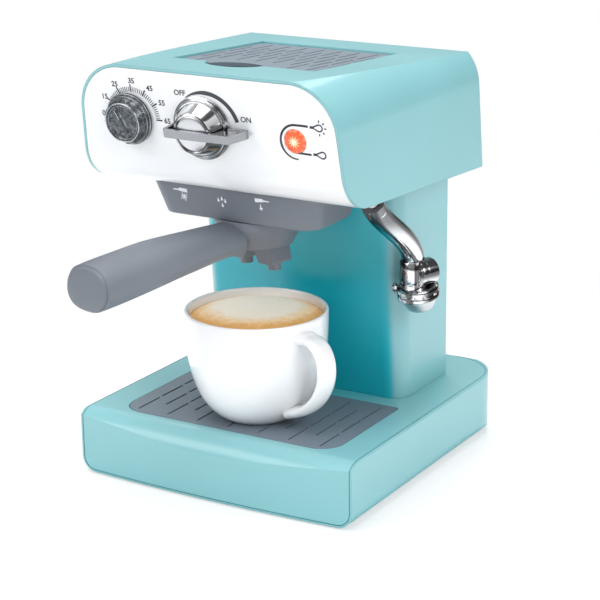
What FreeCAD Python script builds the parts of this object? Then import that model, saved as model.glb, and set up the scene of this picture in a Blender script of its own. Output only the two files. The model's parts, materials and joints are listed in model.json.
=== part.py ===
import FreeCAD, Part
import Sketcher
import math
import os
import re

# Driving dimensions, millimetres unless a name says degrees.
SIZES = {
    "foot_height": 1.0,
    "foot_radius": 8.0,
    "clearance": 0.3,
    "fit_gap": 0.15,
    "wall": 2.2,
    "screw_radius": 1.5,
    "screw_head_radius": 2.8,
    "screw_length": 9.0,
    "base_width": 178.0,
    "base_front": 101.0,
    "base_back": 93.0,
    "base_top": 38.0,
    "base_bow": 3.5,
    "base_front_round": 12.0,
    "base_back_round": 4.0,
    "base_rear_corner": 32.0,
    "base_side_round": 9.0,
    "base_edge_round": 1.2,
    "base_floor_thick": 2.0,
    "tray_width": 140.0,
    "tray_front": 86.0,
    "tray_back": 8.0,
    "tray_depth": 10.0,
    "tray_front_corner": 14.0,
    "tray_back_corner": 3.0,
    "grate_thick": 2.4,
    "grate_slot_width": 1.2,
    "grate_slot_length": 21.0,
    "grate_slot_pitch": 10.0,
    "column_width": 132.0,
    "column_front": 3.0,
    "column_lean": 10.0,
    "column_back": 59.0,
    "column_round": 12.0,
    "column_wall": 3.0,
    "column_reach": 8.0,
    "door_width": 92.0,
    "door_bottom": 52.0,
    "door_tall": 70.0,
    "battery_radius": 7.1,
    "battery_length": 50.0,
    "head_top": 240.0,
    "head_tall": 68.0,
    "head_top_half": 79.0,
    "head_flare": 0.06,
    "head_front": 98.5,
    "head_lean": 10.0,
    "head_back": 67.0,
    "head_top_drop": 9.0,
    "head_low_drop": 7.0,
    "head_round": 28.0,
    "head_curl": 24.0,
    "head_wall": 1.6,
    "panel_thick": 2.0,
    "panel_end": 62.0,
    "lid_half_width": 45.0,
    "lid_front": 58.0,
    "lid_back": 35.0,
    "lid_thick": 2.4,
    "lid_sink": 1.2,
    "notch_half_width": 17.0,
    "notch_reach": 13.0,
    "notch_side": 4.7,
    "tank_depth": 24.0,
    "skirt_half_width": 56.0,
    "skirt_front": 74.5,
    "skirt_back": 14.0,
    "skirt_bottom": 153.0,
    "skirt_taper_degrees": 15.0,
    "skirt_round": 11.0,
    "group_pipe_radius": 12.0,
    "group_ahead": 43.0,
    "collar_radius": 23.5,
    "collar_tall": 8.0,
    "bowl_radius": 25.5,
    "neck_radius": 20.7,
    "bowl_foot_radius": 18.5,
    "bowl_tall": 15.0,
    "spout_spread": 11.0,
    "spout_bottom": 122.0,
    "spout_radius": 3.6,
    "handle_reach": 124.0,
    "handle_root_height": 141.8,
    "handle_middle_height": 139.9,
    "handle_end_height": 132.6,
    "handle_root_side": 11.2,
    "handle_root_tall": 9.8,
    "handle_end_side": 17.2,
    "handle_end_tall": 14.2,
    "handle_cap_thick": 1.8,
    "handle_cap_step": 0.6,
    "handle_cap_round": 0.9,
    "holder_aside_degrees": 13.0,
    "dial_side": 48.3,
    "dial_height": 210.5,
    "dial_radius": 15.0,
    "dial_face_radius": 10.0,
    "dial_depth": 8.0,
    "pointer_degrees": 30.0,
    "switch_side": 2.0,
    "switch_height": 210.0,
    "switch_radius": 17.5,
    "switch_face_radius": 11.5,
    "switch_depth": 11.0,
    "lever_left": 16.6,
    "lever_right": 24.5,
    "lever_end": 29.5,
    "lever_proud": 13.9,
    "strap_thick": 1.8,
    "lever_tall": 4.6,
    "lamp_side": 54.5,
    "lamp_height": 208.3,
    "lamp_radius": 6.5,
    "shaft_radius": 3.0,
    "running_gap": 0.05,
    "wand_side": 76.0,
    "wand_cap_tall": 3.2,
    "wand_pin_radius": 3.0,
    "wand_top_run": 4.2,
    "wand_low_run": 4.8,
    "wand_top_bend": 8.0,
    "wand_low_bend": 9.0,
    "wand_collar_top": 122.5,
    "wand_collar_tall": 16.0,
    "wand_valve_drop": 7.5,
    "wand_valve_side": 6.5,
    "wand_valve_ahead": 3.0,
    "wand_valve_long": 12.0,
    "wand_nozzle_tall": 7.5,
    "wand_nozzle_radius": 6.4,
    "wand_bore_radius": 2.0,
    "wand_bore_deep": 3.5,
    "wand_ahead": 50.0,
    "wand_tube_radius": 6.2,
    "wand_flange_radius": 11.2,
    "wand_flange_tall": 7.5,
    "wand_valve_radius": 7.6,
    "wand_drop": 46.0,
    "wand_collar_radius": 7.4,
    "speaker_radius": 18.0,
    "speaker_back": 30.0,
    "cup_side": 3.4,
    "cup_ahead": 53.5,
    "cup_rim_radius": 40.5,
    "cup_foot_radius": 21.0,
    "cup_tall": 62.5,
    "cup_wall": 2.4,
    "cup_handle_radius": 4.2,
    "cup_handle_degrees": 16.0,
    "coffee_below_rim": 4.0,
}

doc = FreeCAD.newDocument("ToyCoffeeMaker")
sheet = doc.addObject("Spreadsheet::Sheet", "Sizes")
for row, (word, amount) in enumerate(SIZES.items(), start=1):
    sheet.set("A%d" % row, word)
    sheet.set("B%d" % row, str(amount))
    sheet.setAlias("B%d" % row, word)
probe = doc.addObject("Part::Vertex", "Probe")
doc.recompute()

NODES = {}
WORD = re.compile(r"[a-z][a-z_0-9]*")
UP = FreeCAD.Vector(0, 0, 1)


# Expressions on the sheet
def sized(text):
    def swap(found):
        word = found.group(0)
        return "Sizes." + word if word in SIZES else word
    return WORD.sub(swap, text)


def number(text):
    probe.setExpression("X", sized(text))
    probe.recompute()
    return probe.X.Value


def size(word):
    return float(sheet.get(word))


def bind(thing, **properties):
    for name, text in properties.items():
        thing.setExpression(name.replace("__", "."), sized(text))
    return thing


def move(thing, x="0", y="0", z="0"):
    return bind(thing, Placement__Base__x=x, Placement__Base__y=y, Placement__Base__z=z)


def turn(thing, rotation):
    thing.Placement = FreeCAD.Placement(thing.Placement.Base, rotation)
    return thing


# Primitives and booleans
def box(name, low, spans):
    thing = doc.addObject("Part::Box", name)
    bind(thing, Length=spans[0], Width=spans[1], Height=spans[2])
    return move(thing, *low)


def rod(name, radius, height, at=("0", "0", "0"), along="z"):
    thing = doc.addObject("Part::Cylinder", name)
    bind(thing, Radius=radius, Height=height)
    if along == "y":
        turn(thing, FreeCAD.Rotation(FreeCAD.Vector(1, 0, 0), -90))
    if along == "x":
        turn(thing, FreeCAD.Rotation(FreeCAD.Vector(0, 1, 0), 90))
    return move(thing, *at)


def fuse(name, *parts):
    thing = doc.addObject("Part::MultiFuse", name)
    thing.Shapes = list(parts)
    return thing


def cut(name, base, *tools):
    thing = doc.addObject("Part::Cut", name)
    thing.Base = base
    thing.Tool = tools[0] if len(tools) == 1 else fuse(name + "Tools", *tools)
    return thing


def common(name, one, two):
    thing = doc.addObject("Part::Common", name)
    thing.Base = one
    thing.Tool = two
    return thing


def node(label, thing):
    thing.Label = label
    NODES[label] = thing
    return thing


# Sketched bodies
def outline(body, plane, points, name="Outline"):
    sketch = body.newObject("Sketcher::SketchObject", name)
    support = [item for item in body.Origin.OriginFeatures if item.Role == plane + "_Plane"]
    sketch.AttachmentSupport = [(support[0], "")]
    sketch.MapMode = "FlatFace"
    places = [(number(a), number(b)) for a, b in points]
    count = len(points)
    for index in range(count):
        start = FreeCAD.Vector(*places[index], 0)
        end = FreeCAD.Vector(*places[(index + 1) % count], 0)
        sketch.addGeometry(Part.LineSegment(start, end))
    for index in range(count):
        sketch.addConstraint(Sketcher.Constraint("Coincident", index, 2, (index + 1) % count, 1))
    for index in range(count):
        for kind, text, amount in zip(("DistanceX", "DistanceY"), points[index], places[index]):
            made = sketch.addConstraint(Sketcher.Constraint(kind, -1, 1, index, 1, amount))
            sketch.setExpression("Constraints[%d]" % made, sized(text))
    return sketch, places


def edges_near(shape, test):
    return ["Edge%d" % (i + 1) for i, edge in enumerate(shape.Edges) if test(edge)]


def round_edges(body, test, radius):
    below = body.Tip
    fillet = body.newObject("PartDesign::Fillet", "Rounding")
    fillet.Base = (below, edges_near(below.Shape, test))
    bind(fillet, Radius=radius)
    body.Tip = fillet
    doc.recompute()
    return fillet


def flat_place(point, plane):
    return {"XY": (point.x, point.y), "XZ": (point.x, point.z), "YZ": (point.y, point.z)}[plane]


def prism(name, plane, points, length, rounds=()):
    """A body padded both ways from its plane, with chosen corners of its outline rounded."""
    body = doc.addObject("PartDesign::Body", name)
    sketch, places = outline(body, plane, points)
    pad = body.newObject("PartDesign::Pad", "Block")
    pad.Profile = sketch
    pad.Midplane = True
    bind(pad, Length=length)
    doc.recompute()
    for corners, radius in rounds:
        spots = [places[corner] for corner in corners]

        def at_corner(edge):
            ends = [flat_place(vertex.Point, plane) for vertex in edge.Vertexes]
            if len(ends) != 2 or math.dist(ends[0], ends[1]) > 1e-4:
                return False
            return any(math.dist(ends[0], spot) < 1e-3 for spot in spots)
        round_edges(body, at_corner, radius)
    return body


def turned(name, profile):
    """A body revolved about its own Z axis; each profile point is a radius and a height."""
    body = doc.addObject("PartDesign::Body", name)
    sketch, _ = outline(body, "XZ", profile)
    spin = body.newObject("PartDesign::Revolution", "Turning")
    spin.Profile = sketch
    spin.ReferenceAxis = (sketch, ["V_Axis"])
    spin.Angle = 360
    doc.recompute()
    return body


def rectangle(left, right, low, high):
    return [(left, low), (right, low), (right, high), (left, high)]


def shaped(name, shape):
    thing = doc.addObject("Part::Feature", name)
    thing.Shape = shape
    return thing


# Base: a low block with a bowed front, a drip well and a cover underneath
def base_block(name, side, bottom, top, front, back):
    width = "base_width/2 - (%s)" % side
    low = "foot_height + (%s)" % bottom
    high = "base_top - (%s)" % top
    ahead = "-base_front + (%s)" % front
    behind = "base_back - (%s)" % back
    side_view = prism(name + "Side", "YZ", rectangle(ahead, behind, low, high), "base_width + 20",
                      [((3,), "base_front_round"), ((2,), "base_back_round")])
    front_view = prism(name + "Front", "XZ", rectangle("-(%s)" % width, width, low, high), "base_front*4",
                       [((0, 1), "base_side_round"), ((2, 3), "base_edge_round")])
    plan = prism(name + "Plan", "XY", rectangle("-(%s)" % width, width, "-base_front*2", behind),
                 "base_top*3", [((2, 3), "base_rear_corner - (%s)" % side)])
    bow = doc.addObject("Part::Cylinder", name + "Bow")
    sweep = "(base_width*base_width/4 + base_bow*base_bow)/(2*base_bow)"
    bind(bow, Radius=sweep, Height="base_top*2")
    move(bow, "0", "%s + %s" % (ahead, sweep), "-base_top/2")
    cross = common(name + "Cross", common(name + "Views", side_view, front_view), plan)
    return common(name, cross, bow)


def build_base():
    well_low = "base_top - tray_depth"
    outer = base_block("BaseOuter", "0", "0", "0", "0", "0")
    well = prism("TrayWell", "XY",
                 rectangle("-tray_width/2", "tray_width/2", "-tray_front", "-tray_back"), "tray_depth*2",
                 [((0, 1), "tray_front_corner"), ((2, 3), "tray_back_corner")])
    move(well, "0", "0", "base_top")
    inset = "base_side_round + 1"
    front_room = prism("BaseFrontRoom", "XY",
                       rectangle("-base_width/2 + " + inset, "base_width/2 - (%s)" % inset,
                                 "-base_front + " + inset, "base_back - (%s)" % inset),
                       "2*(%s - wall)" % well_low, [((2, 3), "base_rear_corner - (%s)" % inset)])
    back_room = box("BaseBackRoom", ("-column_width/2 + column_round", "-tray_back + wall", "-1"),
                    ("column_width - 2*column_round", "column_back + tray_back - 2*wall",
                     "base_top - wall + 1"))
    node("base_shell", cut("BaseShell", outer, well, front_room, back_room))
    edge = inset + " + fit_gap"
    plate = prism("BasePlate", "XY",
                  rectangle("-base_width/2 + " + edge, "base_width/2 - (%s)" % edge,
                            "-base_front + " + edge, "base_back - (%s)" % edge),
                  "base_floor_thick", [((2, 3), "base_rear_corner - (%s)" % edge)])
    move(plate, "0", "0", "foot_height + base_floor_thick/2")
    bosses = []
    screws = []
    foot_pads = []
    for side in ("-1", "1"):
        for depth, tag in (("-base_front + 20", "Front"), ("base_back - 20", "Rear")):
            name = tag + ("Left" if side == "-1" else "Right")
            x = "%s*(base_width/2 - 20)" % side
            bosses.append(rod("Boss" + name, "screw_head_radius + 1.5", well_low + " - wall - foot_height"
                              " - base_floor_thick", (x, depth, "foot_height + base_floor_thick")))
            screws.append(rod("Screw" + name, "screw_radius", "screw_length",
                              (x, depth, "foot_height + 0.6")))
            screws.append(rod("ScrewHead" + name, "screw_head_radius", "0.6", (x, depth, "foot_height")))
            foot_pads.append(rod("Foot" + name, "foot_radius", "foot_height + 0.5",
                                 ("%s*(base_width/2 - 36)" % side, depth, "0")))
    screw_group = fuse("BaseScrews", *screws)
    feet = fuse("Feet", *foot_pads)
    node("base_screws", screw_group)
    node("rubber_feet", feet)
    grille = [rod("GrilleHole%d_%d" % (x, y), "1", "base_floor_thick + 2",
                  ("%d*4.5" % x, "speaker_back + %d*4.5" % y, "foot_height - 1"))
              for x in range(-2, 3) for y in range(-2, 3)]
    node("base_bottom_plate", cut("BasePlateCut", plate, screw_group, feet, *grille))
    node("base_screw_posts", cut("BasePosts", fuse("BasePostBlanks", *bosses), screw_group))


def build_grate():
    low = "base_top - grate_thick"
    gap = "clearance"
    plate = prism("GratePlate", "XY",
                  rectangle("-tray_width/2 + " + gap, "tray_width/2 - " + gap, "-tray_front + " + gap,
                            "-tray_back - " + gap), "grate_thick",
                  [((0, 1), "tray_front_corner"), ((2, 3), "tray_back_corner")])
    move(plate, "0", "0", low + " + grate_thick/2")
    slots = []
    columns = 6
    for column in range(-columns, columns + 1):
        for place in range(3):
            stagger = "0" if column % 2 == 0 else "-grate_slot_length/2"
            if column % 2 and place == 0:
                continue
            slots.append(box("GrateSlot%d_%d" % (column + columns, place),
                             ("%d*grate_slot_pitch - grate_slot_width/2" % column,
                              "-tray_front + 5 + %d*(grate_slot_length + 2.5) + %s" % (place, stagger),
                              low + " - 1"),
                             ("grate_slot_width", "grate_slot_length", "grate_thick + 2")))
    legs = []
    for side in (-1, 1):
        for along in (-1, 1):
            legs.append(rod("GrateLeg%d%d" % (side + 1, along + 1), "3",
                            "tray_depth - grate_thick - 0.1",
                            ("%d*(tray_width/2 - 16)" % side,
                             "-(tray_front + tray_back)/2 + %d*((tray_front - tray_back)/2 - 16)" % along,
                             "base_top - tray_depth + 0.1")))
    node("drip_grate", cut("DripGrate", plate, *slots))
    node("grate_legs", fuse("GrateLegs", *legs))


# Column: a hollow tower whose front leans forward, with a rear cover and battery room
def column_form(name, side, front, back, low, high, rounding, rear_rounding):
    lean = "column_lean/(head_top - head_tall - base_top)"
    ahead = "column_front + (%s)" % front
    behind = "column_back - (%s)" % back
    half = "column_width/2 - (%s)" % side
    plan = prism(name + "Plan", "XY", rectangle("-(%s)" % half, half, "-60", behind), "head_top*2",
                 [((2, 3), rear_rounding)])
    edge = prism(name + "Edge", "YZ",
                 [("%s - (%s - base_top)*%s" % (ahead, low, lean), low), ("200", low), ("200", high),
                  ("%s - (%s - base_top)*%s" % (ahead, high, lean), high)], "2*(%s)" % half)

    def front_corner(item):
        middle = item.CenterOfMass
        spans = item.BoundBox
        return spans.ZLength > 20 and spans.XLength < 1e-6 and middle.y < 100
    round_edges(edge, front_corner, rounding)
    return common(name, plan, edge)


def build_column():
    top = "head_top - head_tall + column_reach"
    outer = column_form("ColumnOuter", "0", "0", "0", "base_top", top, "column_round", "column_wall - 1")
    inner = column_form("ColumnInner", "column_wall", "column_wall", "-20", "base_top + column_wall",
                        top + " - column_wall", "column_round - column_wall", "column_wall - 1")
    node("column_shell", cut("ColumnShell", outer, inner))
    gap = "fit_gap"
    cover = prism("RearCoverPlate", "XZ",
                  rectangle("-column_width/2 + column_wall + running_gap",
                            "column_width/2 - column_wall - running_gap",
                            "base_top + column_wall + running_gap", top + " - column_wall - running_gap"),
                  "wall")
    move(cover, "0", "column_back - wall/2", "0")
    doorway = box("Doorway", ("-door_width/2 - " + gap, "column_back - 8", "door_bottom - " + gap),
                  ("door_width + 2*" + gap, "20", "door_tall + 2*" + gap))
    cover_screws = []
    for side in (-1, 1):
        for height in ("base_top + 8", "head_top - head_tall - 18"):
            tag = "%d%s" % (side + 1, "Low" if "base" in height else "High")
            x = "%d*(door_width/2 - 4)" % side
            cover_screws.append(rod("CoverScrew" + tag, "screw_radius", "screw_length",
                                    (x, "column_back - 0.8 - screw_length", height), "y"))
            cover_screws.append(rod("CoverHead" + tag, "screw_head_radius", "0.8",
                                    (x, "column_back - 0.8", height), "y"))
    screws = fuse("CoverScrews", *cover_screws)
    node("rear_cover_screws", screws)
    node("column_rear_cover", cut("RearCover", cover, doorway, screws))
    door = prism("DoorPlate", "XZ", rectangle("-door_width/2 + 0.15", "door_width/2 - 0.15",
                                              "door_bottom + 0.15", "door_bottom + door_tall - 0.15"),
                 "wall", [((0, 1, 2, 3), "3")])
    move(door, "0", "column_back - wall/2", "0")
    ribs = [box("DoorRib%d" % index, ("-door_width/4", "column_back", "door_bottom + %d" % (8 + 4 * index)),
                ("door_width/2", "0.8", "1.4")) for index in range(4)]
    door_screw = fuse("DoorScrew",
                      rod("DoorScrewShank", "screw_radius", "6",
                          ("0", "column_back - 6.8", "door_bottom + door_tall - 7"), "y"),
                      rod("DoorScrewHead", "screw_head_radius", "0.8",
                          ("0", "column_back - 0.8", "door_bottom + door_tall - 7"), "y"))
    node("battery_door", cut("BatteryDoor", fuse("DoorBlank", door, *ribs), door_screw))
    node("battery_door_screw", door_screw)


def build_batteries():
    pitch = "2*battery_radius + 1.2"
    back = "column_back - wall - 2.5"
    middle = back + " - battery_radius - 0.4"
    low = "door_bottom + 8"
    room = box("BatteryRoom", ("-1.5*(%s) - 1" % pitch, back + " - 2*battery_radius - 1", low),
               ("3*(%s) + 2" % pitch, "2*battery_radius + 8", "battery_length + 3"))
    block = box("BatteryBlock", ("-door_width/2 - 2", back + " - 2*battery_radius - 3", "door_bottom - 2"),
                ("door_width + 4", "2*battery_radius + 5.5", "door_tall + 4"))
    post = rod("DoorScrewPost", "4", "7.5", ("0", back + " - 8", "door_bottom + door_tall - 7"), "y")
    hole = rod("DoorScrewHole", "screw_radius + clearance", "14",
               ("0", back + " - 10", "door_bottom + door_tall - 7"), "y")
    node("battery_box", cut("BatteryBox", fuse("BatteryBoxBlank", block, post), room, hole))
    cells = []
    contacts = []
    for place in (-1, 0, 1):
        x = "%d*(%s)" % (place, pitch)
        cells.append(rod("Cell%d" % (place + 1), "battery_radius", "battery_length - 1.5",
                         (x, middle, low + " + 1.4")))
        cells.append(rod("CellTip%d" % (place + 1), "2.7", "1.2",
                         (x, middle, low + " + battery_length - 0.1")))
        for end, tag in ((low + " + 0.1", "Low"), (low + " + battery_length + 1.6", "High")):
            contacts.append(box("Contact%d%s" % (place + 1, tag),
                                (x + " - 4.5", middle + " - 4.5", end), ("9", "9", "0.6")))
    node("batteries", fuse("Batteries", *[fuse("CellSet%d" % i, cells[2 * i], cells[2 * i + 1])
                                          for i in range(3)]))
    node("battery_contacts", fuse("BatteryContacts", *contacts))


# Head: flared sides, large upper corners, a front that leans forward and curls under
def head_form(name, side, front, back, top, low, curl):
    high = "head_top - (%s)" % top
    half_top = "head_top_half + head_flare*(%s) - (%s)" % (top, side)
    bottom = "head_top - head_tall - 20"
    half_low = "head_top_half + head_flare*(head_tall + 20) - (%s)" % side
    front_view = prism(name + "Front", "XZ",
                       [("-(%s)" % half_low, bottom), (half_low, bottom), (half_top, high),
                        ("-(%s)" % half_top, high)], "head_front*4",
                       [((2, 3), "head_round - (%s)" % side)])
    toe = "-head_front + head_lean*(head_tall - (%s))/head_tall + (%s)" % (low, front)
    brow = "-head_front + head_lean*(%s)/head_tall + (%s)" % (top, front)
    heel = "head_back - (%s)" % back
    side_view = prism(name + "Side", "YZ",
                      [(toe, low_height(toe) + " + (%s)" % low), (heel, low_height(heel) + " + (%s)" % low),
                       (heel, top_height(heel) + " - (%s)" % top), (brow, top_height(brow) + " - (%s)" % top)],
                      "head_top_half*4",
                      [((0,), curl)])
    return common(name, front_view, side_view)


def slope_degrees():
    return math.degrees(math.atan(size("head_top_drop") / (size("head_front") + size("head_back"))))


def top_height(depth):
    return "head_top - head_top_drop*(head_front + (%s))/(head_front + head_back)" % depth


def low_height(depth):
    reach = "(head_front - head_lean + head_back)"
    return "head_top - head_tall - head_low_drop*(head_front - head_lean + (%s))/%s" % (depth, reach)


def notch_shape(name, reach, sink, tall, grow="0"):
    """An upright oval block over the finger notch."""
    oval = doc.addObject("Part::Ellipse", name + "Line")
    bind(oval, MajorRadius="notch_half_width + (%s)" % grow, MinorRadius=reach)
    block = doc.addObject("Part::Extrusion", name)
    block.Base = oval
    block.Dir = UP
    block.Solid = True
    bind(block, LengthFwd=tall)
    move(oval, "-notch_side", "-lid_front", top_height("-lid_front") + " - (%s)" % sink)
    return block


def build_head():
    outer = head_form("HeadOuter", "0", "0", "0", "0", "0", "head_curl")
    hollow = head_form("HeadHollow", "head_wall", "-6", "head_wall", "head_wall", "-6", "head_curl + 6")
    mouth = lid_block("LidMouth", "fit_gap", "lid_sink + lid_thick + 4", "8")
    notch = notch_shape("CaseNotch", "notch_reach", "lid_sink + lid_thick + 4", "12")
    node("head_shell", cut("HeadShell", outer, hollow, mouth, notch))
    inset = "head_wall + fit_gap"
    skin = cut("HeadLiner", head_form("LinerOuter", inset, "0", inset, inset, "0", "head_curl"),
               head_form("LinerInner", "-5", "panel_thick", "-5", "-5", "panel_thick",
                         "head_curl - panel_thick"))
    front_zone = box("FrontZone", ("-200", "-200", "0"), ("400", "200 - panel_end", "400"))
    floor_zone = box("FloorZone", ("-200", "-panel_end + 0.2", "0"), ("400", "300", "200"))
    holes = []
    for x, z, radius in (("-dial_side", "dial_height", "shaft_radius + 1"),
                         ("-switch_side", "switch_height", "shaft_radius + 1"),
                         ("lamp_side", "lamp_height", "lamp_radius + fit_gap")):
        hole = rod("PanelHole" + x.strip("-").title().replace("_", ""), radius, "20")
        holes.append(on_panel(hole, x, z, -10))
    node("front_panel", cut("FrontPanel", common("PanelBlank", skin, front_zone), *holes))
    column_hole = box("ColumnHole", ("-column_width/2 - fit_gap", "column_front - column_lean - 1", "100"),
                      ("column_width + 2*fit_gap", "column_back - column_front + column_lean + 1 + fit_gap",
                       "100"))
    group_hole = rod("GroupHole", "group_pipe_radius + running_gap", "60", ("0", "-group_ahead", "140"))
    wand_hole = rod("WandHole", "3 + running_gap", "60", ("wand_side", "-wand_ahead", "140"))
    node("head_floor", cut("HeadFloor", common("FloorBlank", skin, floor_zone), column_hole, group_hole,
                           wand_hole))


def lid_block(name, gap, sink, tall):
    """A block over the lid's place, square to the sloping top, whose foot lies a depth under it."""
    block = doc.addObject("Part::Box", name)
    bind(block, Length="2*lid_half_width + 2*(%s)" % gap, Width="lid_front + lid_back + 2*(%s)" % gap,
         Height=tall)
    turn(block, FreeCAD.Rotation(FreeCAD.Vector(1, 0, 0), -slope_degrees()))
    return move(block, "-lid_half_width - (%s)" % gap, "-lid_front - (%s)" % gap,
                top_height("-lid_front") + " - (%s)" % sink)


def build_lid():
    plate = lid_block("LidPlate", "-fit_gap", "lid_sink + lid_thick", "lid_thick")
    notch = notch_shape("LidNotch", "notch_reach", "lid_thick + 8", "16")
    slots = []
    columns = 7
    for column in range(-columns, columns + 1):
        for place in range(3):
            start = 8 + place * 28 - (14 if column % 2 else 0)
            if start < 0 or (place == 0 and abs(column + 1) < 4):
                continue
            slot = lid_block("LidSlot%d_%d" % (column + columns, place), "0", "lid_sink + lid_thick + 1", "6")
            bind(slot, Length="grate_slot_width", Width="24")
            turn(slot, FreeCAD.Rotation(FreeCAD.Vector(1, 0, 0), -slope_degrees()))
            move(slot, "%d*5.8 - grate_slot_width/2" % column, "-lid_front + %d" % start,
                 top_height("-lid_front + %d" % start) + " - lid_sink - lid_thick - 1")
            slots.append(slot)
    node("top_lid", cut("TopLid", plate, notch, *slots))
    floor = "lid_sink + lid_thick + tank_depth"
    tub = lid_block("TankOuter", "3", floor, floor)
    dish = notch_shape("DishOuter", "notch_reach + 1.6", "lid_sink + lid_thick + 6", "12", "1.6")
    limit = head_form("TankLimit", "head_wall", "0", "0", "head_wall", "-20", "head_curl")
    seat = lid_block("LidSeat", "fit_gap", "lid_sink + lid_thick + 0.1", "20")
    room = lid_block("TankRoom", "-2", floor + " - 1.8", floor + " + 10")
    finger = notch_shape("DishInner", "notch_reach", "lid_sink + lid_thick + 4.4", "20")
    node("water_tank", cut("WaterTank", common("TankBlank", fuse("TankSet", tub, dish), limit), seat, room,
                           finger))


# Things that sit square to the leaning front panel
def panel_lean_degrees():
    return math.degrees(math.atan(size("head_lean") / size("head_tall")))


def panel_depth(z):
    return "-head_front + head_lean*(head_top - (%s))/head_tall" % z


def on_panel(thing, x, z, proud, spin=0):
    """Turns a Z-built piece to face out of the panel, with its Z = 0 plane proud of the face."""
    lean = panel_lean_degrees()
    facing = FreeCAD.Rotation(FreeCAD.Vector(1, 0, 0), 90 + lean)
    turn(thing, facing.multiply(FreeCAD.Rotation(UP, spin)))
    along = math.radians(lean)
    return move(thing, x, "%s - %.9g" % (panel_depth(z), proud * math.cos(along)),
                "%s - %.9g" % (z, proud * math.sin(along)))


def build_dial():
    x, z = "-dial_side", "dial_height"
    skirt = turned("DialSkirt", [("shaft_radius", "0"), ("dial_radius", "0"), ("dial_radius", "2.6"),
                                 ("dial_radius - 1.6", "4"), ("shaft_radius", "4")])
    knob = turned("DialKnob", [("shaft_radius", "4"), ("dial_radius - 2.2", "4"),
                               ("dial_face_radius + 1", "dial_depth - 1.5"),
                               ("dial_face_radius", "dial_depth"), ("0", "dial_depth"),
                               ("0", "dial_depth - 3"), ("shaft_radius", "dial_depth - 3")])
    bar = prism("DialPointer", "XZ", rectangle("-1.2", "1.2", "dial_depth", "dial_depth + 1.2"),
                "dial_face_radius*1.7")
    shaft = turned("DialShaft", [("0", "-14"), ("shaft_radius", "-14"), ("shaft_radius", "dial_depth - 3"),
                                 ("0", "dial_depth - 3")])
    works = cut("DialWorks", rod("TimerBody", "11", "9.9", ("0", "0", "-12.3")),
                rod("TimerBore", "shaft_radius + running_gap", "20", ("0", "0", "-15")))
    for label, piece in (("dial_skirt", skirt), ("dial_knob", knob), ("dial_shaft", shaft),
                         ("timer_body", works)):
        node(label, on_panel(piece, x, z, 0.3))
    node("dial_pointer", on_panel(bar, x, z, 0.3, size("pointer_degrees")))


def build_switch():
    x, z = "-switch_side", "switch_height"
    flange = turned("SwitchFlange", [("shaft_radius", "0"), ("switch_radius", "0"), ("switch_radius", "2"),
                                     ("switch_radius - 1.4", "3.2"), ("shaft_radius", "3.2")])
    cone = turned("SwitchCone", [("shaft_radius", "3.2"), ("switch_radius - 3", "3.2"),
                                 ("switch_face_radius + 0.8", "switch_depth - 1"),
                                 ("switch_face_radius", "switch_depth"), ("switch_face_radius - 1",
                                                                          "switch_depth"),
                                 ("switch_face_radius - 1", "switch_depth - 1.2"), ("0", "switch_depth - 1.2"),
                                 ("0", "switch_depth - 4"), ("shaft_radius", "switch_depth - 4")])
    disc = turned("SwitchDisc", [("0", "switch_depth - 1.2"), ("switch_face_radius - 1", "switch_depth - 1.2"),
                                 ("switch_face_radius - 1", "switch_depth - 0.6"), ("0", "switch_depth + 0.6")])
    shaft = turned("SwitchShaft", [("0", "-16"), ("shaft_radius", "-16"), ("shaft_radius", "switch_depth - 4"),
                                   ("0", "switch_depth - 4")])
    works = cut("SwitchWorks", rod("SwitchBody", "12", "10.9", ("0", "0", "-13.3")),
                rod("SwitchBore", "shaft_radius + running_gap", "20", ("0", "0", "-16")))
    lever = prism("SwitchLever", "XZ", [
        ("-lever_left + 0.5", "3.25"), ("-lever_left", "lever_proud - 1.5"),
        ("-lever_left + 1.4", "lever_proud"), ("lever_right", "lever_proud"), ("lever_end", "4"),
        ("lever_end", "1.2"), ("switch_radius + running_gap", "1.2"),
        ("switch_radius + running_gap", "1.2 + strap_thick"),
        ("lever_end - strap_thick - 0.4", "1.2 + strap_thick"),
        ("lever_right - 1.3", "lever_proud - strap_thick"),
        ("-lever_left + 2.2", "lever_proud - strap_thick"), ("-lever_left + 2.05", "3.25")], "lever_tall")
    for label, piece in (("switch_flange", flange), ("switch_cone", cone), ("switch_disc", disc),
                         ("switch_shaft", shaft), ("switch_body", works), ("switch_lever", lever)):
        node(label, on_panel(piece, x, z, 0.3))


def build_lamp():
    x, z = "lamp_side", "lamp_height"
    lens = turned("LampLens", [("0", "-3.2"), ("lamp_radius - 1.2", "-3.2"), ("lamp_radius - 1.2", "-2"),
                               ("lamp_radius", "-2"), ("lamp_radius", "0.2"), ("lamp_radius*0.7", "1.2"),
                               ("0", "1.7")])
    led = turned("LampLed", [("0", "-8.6"), ("2.9", "-8.6"), ("2.9", "-7.6"), ("2.5", "-7.6"),
                             ("2.5", "-4.6"), ("1.4", "-3.5"), ("0", "-3.3")])
    node("lamp_lens", on_panel(lens, x, z, 0))
    node("lamp_led", on_panel(led, x, z, 0))
    board = prism("Board", "XZ", rectangle("-18", "18", "-10.2", "-8.6"), "30")
    chips = fuse("BoardChips", *[box("Chip%d" % i, (str(-12 + 11 * i), "-10", "-11.8"),
                                            ("7", "8", "1.6")) for i in range(3)])
    node("circuit_board", on_panel(board, x, z, 0))
    node("board_chips", on_panel(chips, x, z, 0))
    posts = [rod("BoardPost%d" % i, "2.4", "10.2 - 2 - 1.6 + 1.5",
                 (str(-15 + 30 * (i % 2)), str(-12 + 24 * (i // 2)), "-8.5")) for i in range(4)]
    node("board_posts", on_panel(cut("BoardPosts", fuse("BoardPostBlanks", *posts),
                                     rod("BoardPostTrim", "60", "10", ("0", "0", "-2.05"))), x, z, 0))


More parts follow.
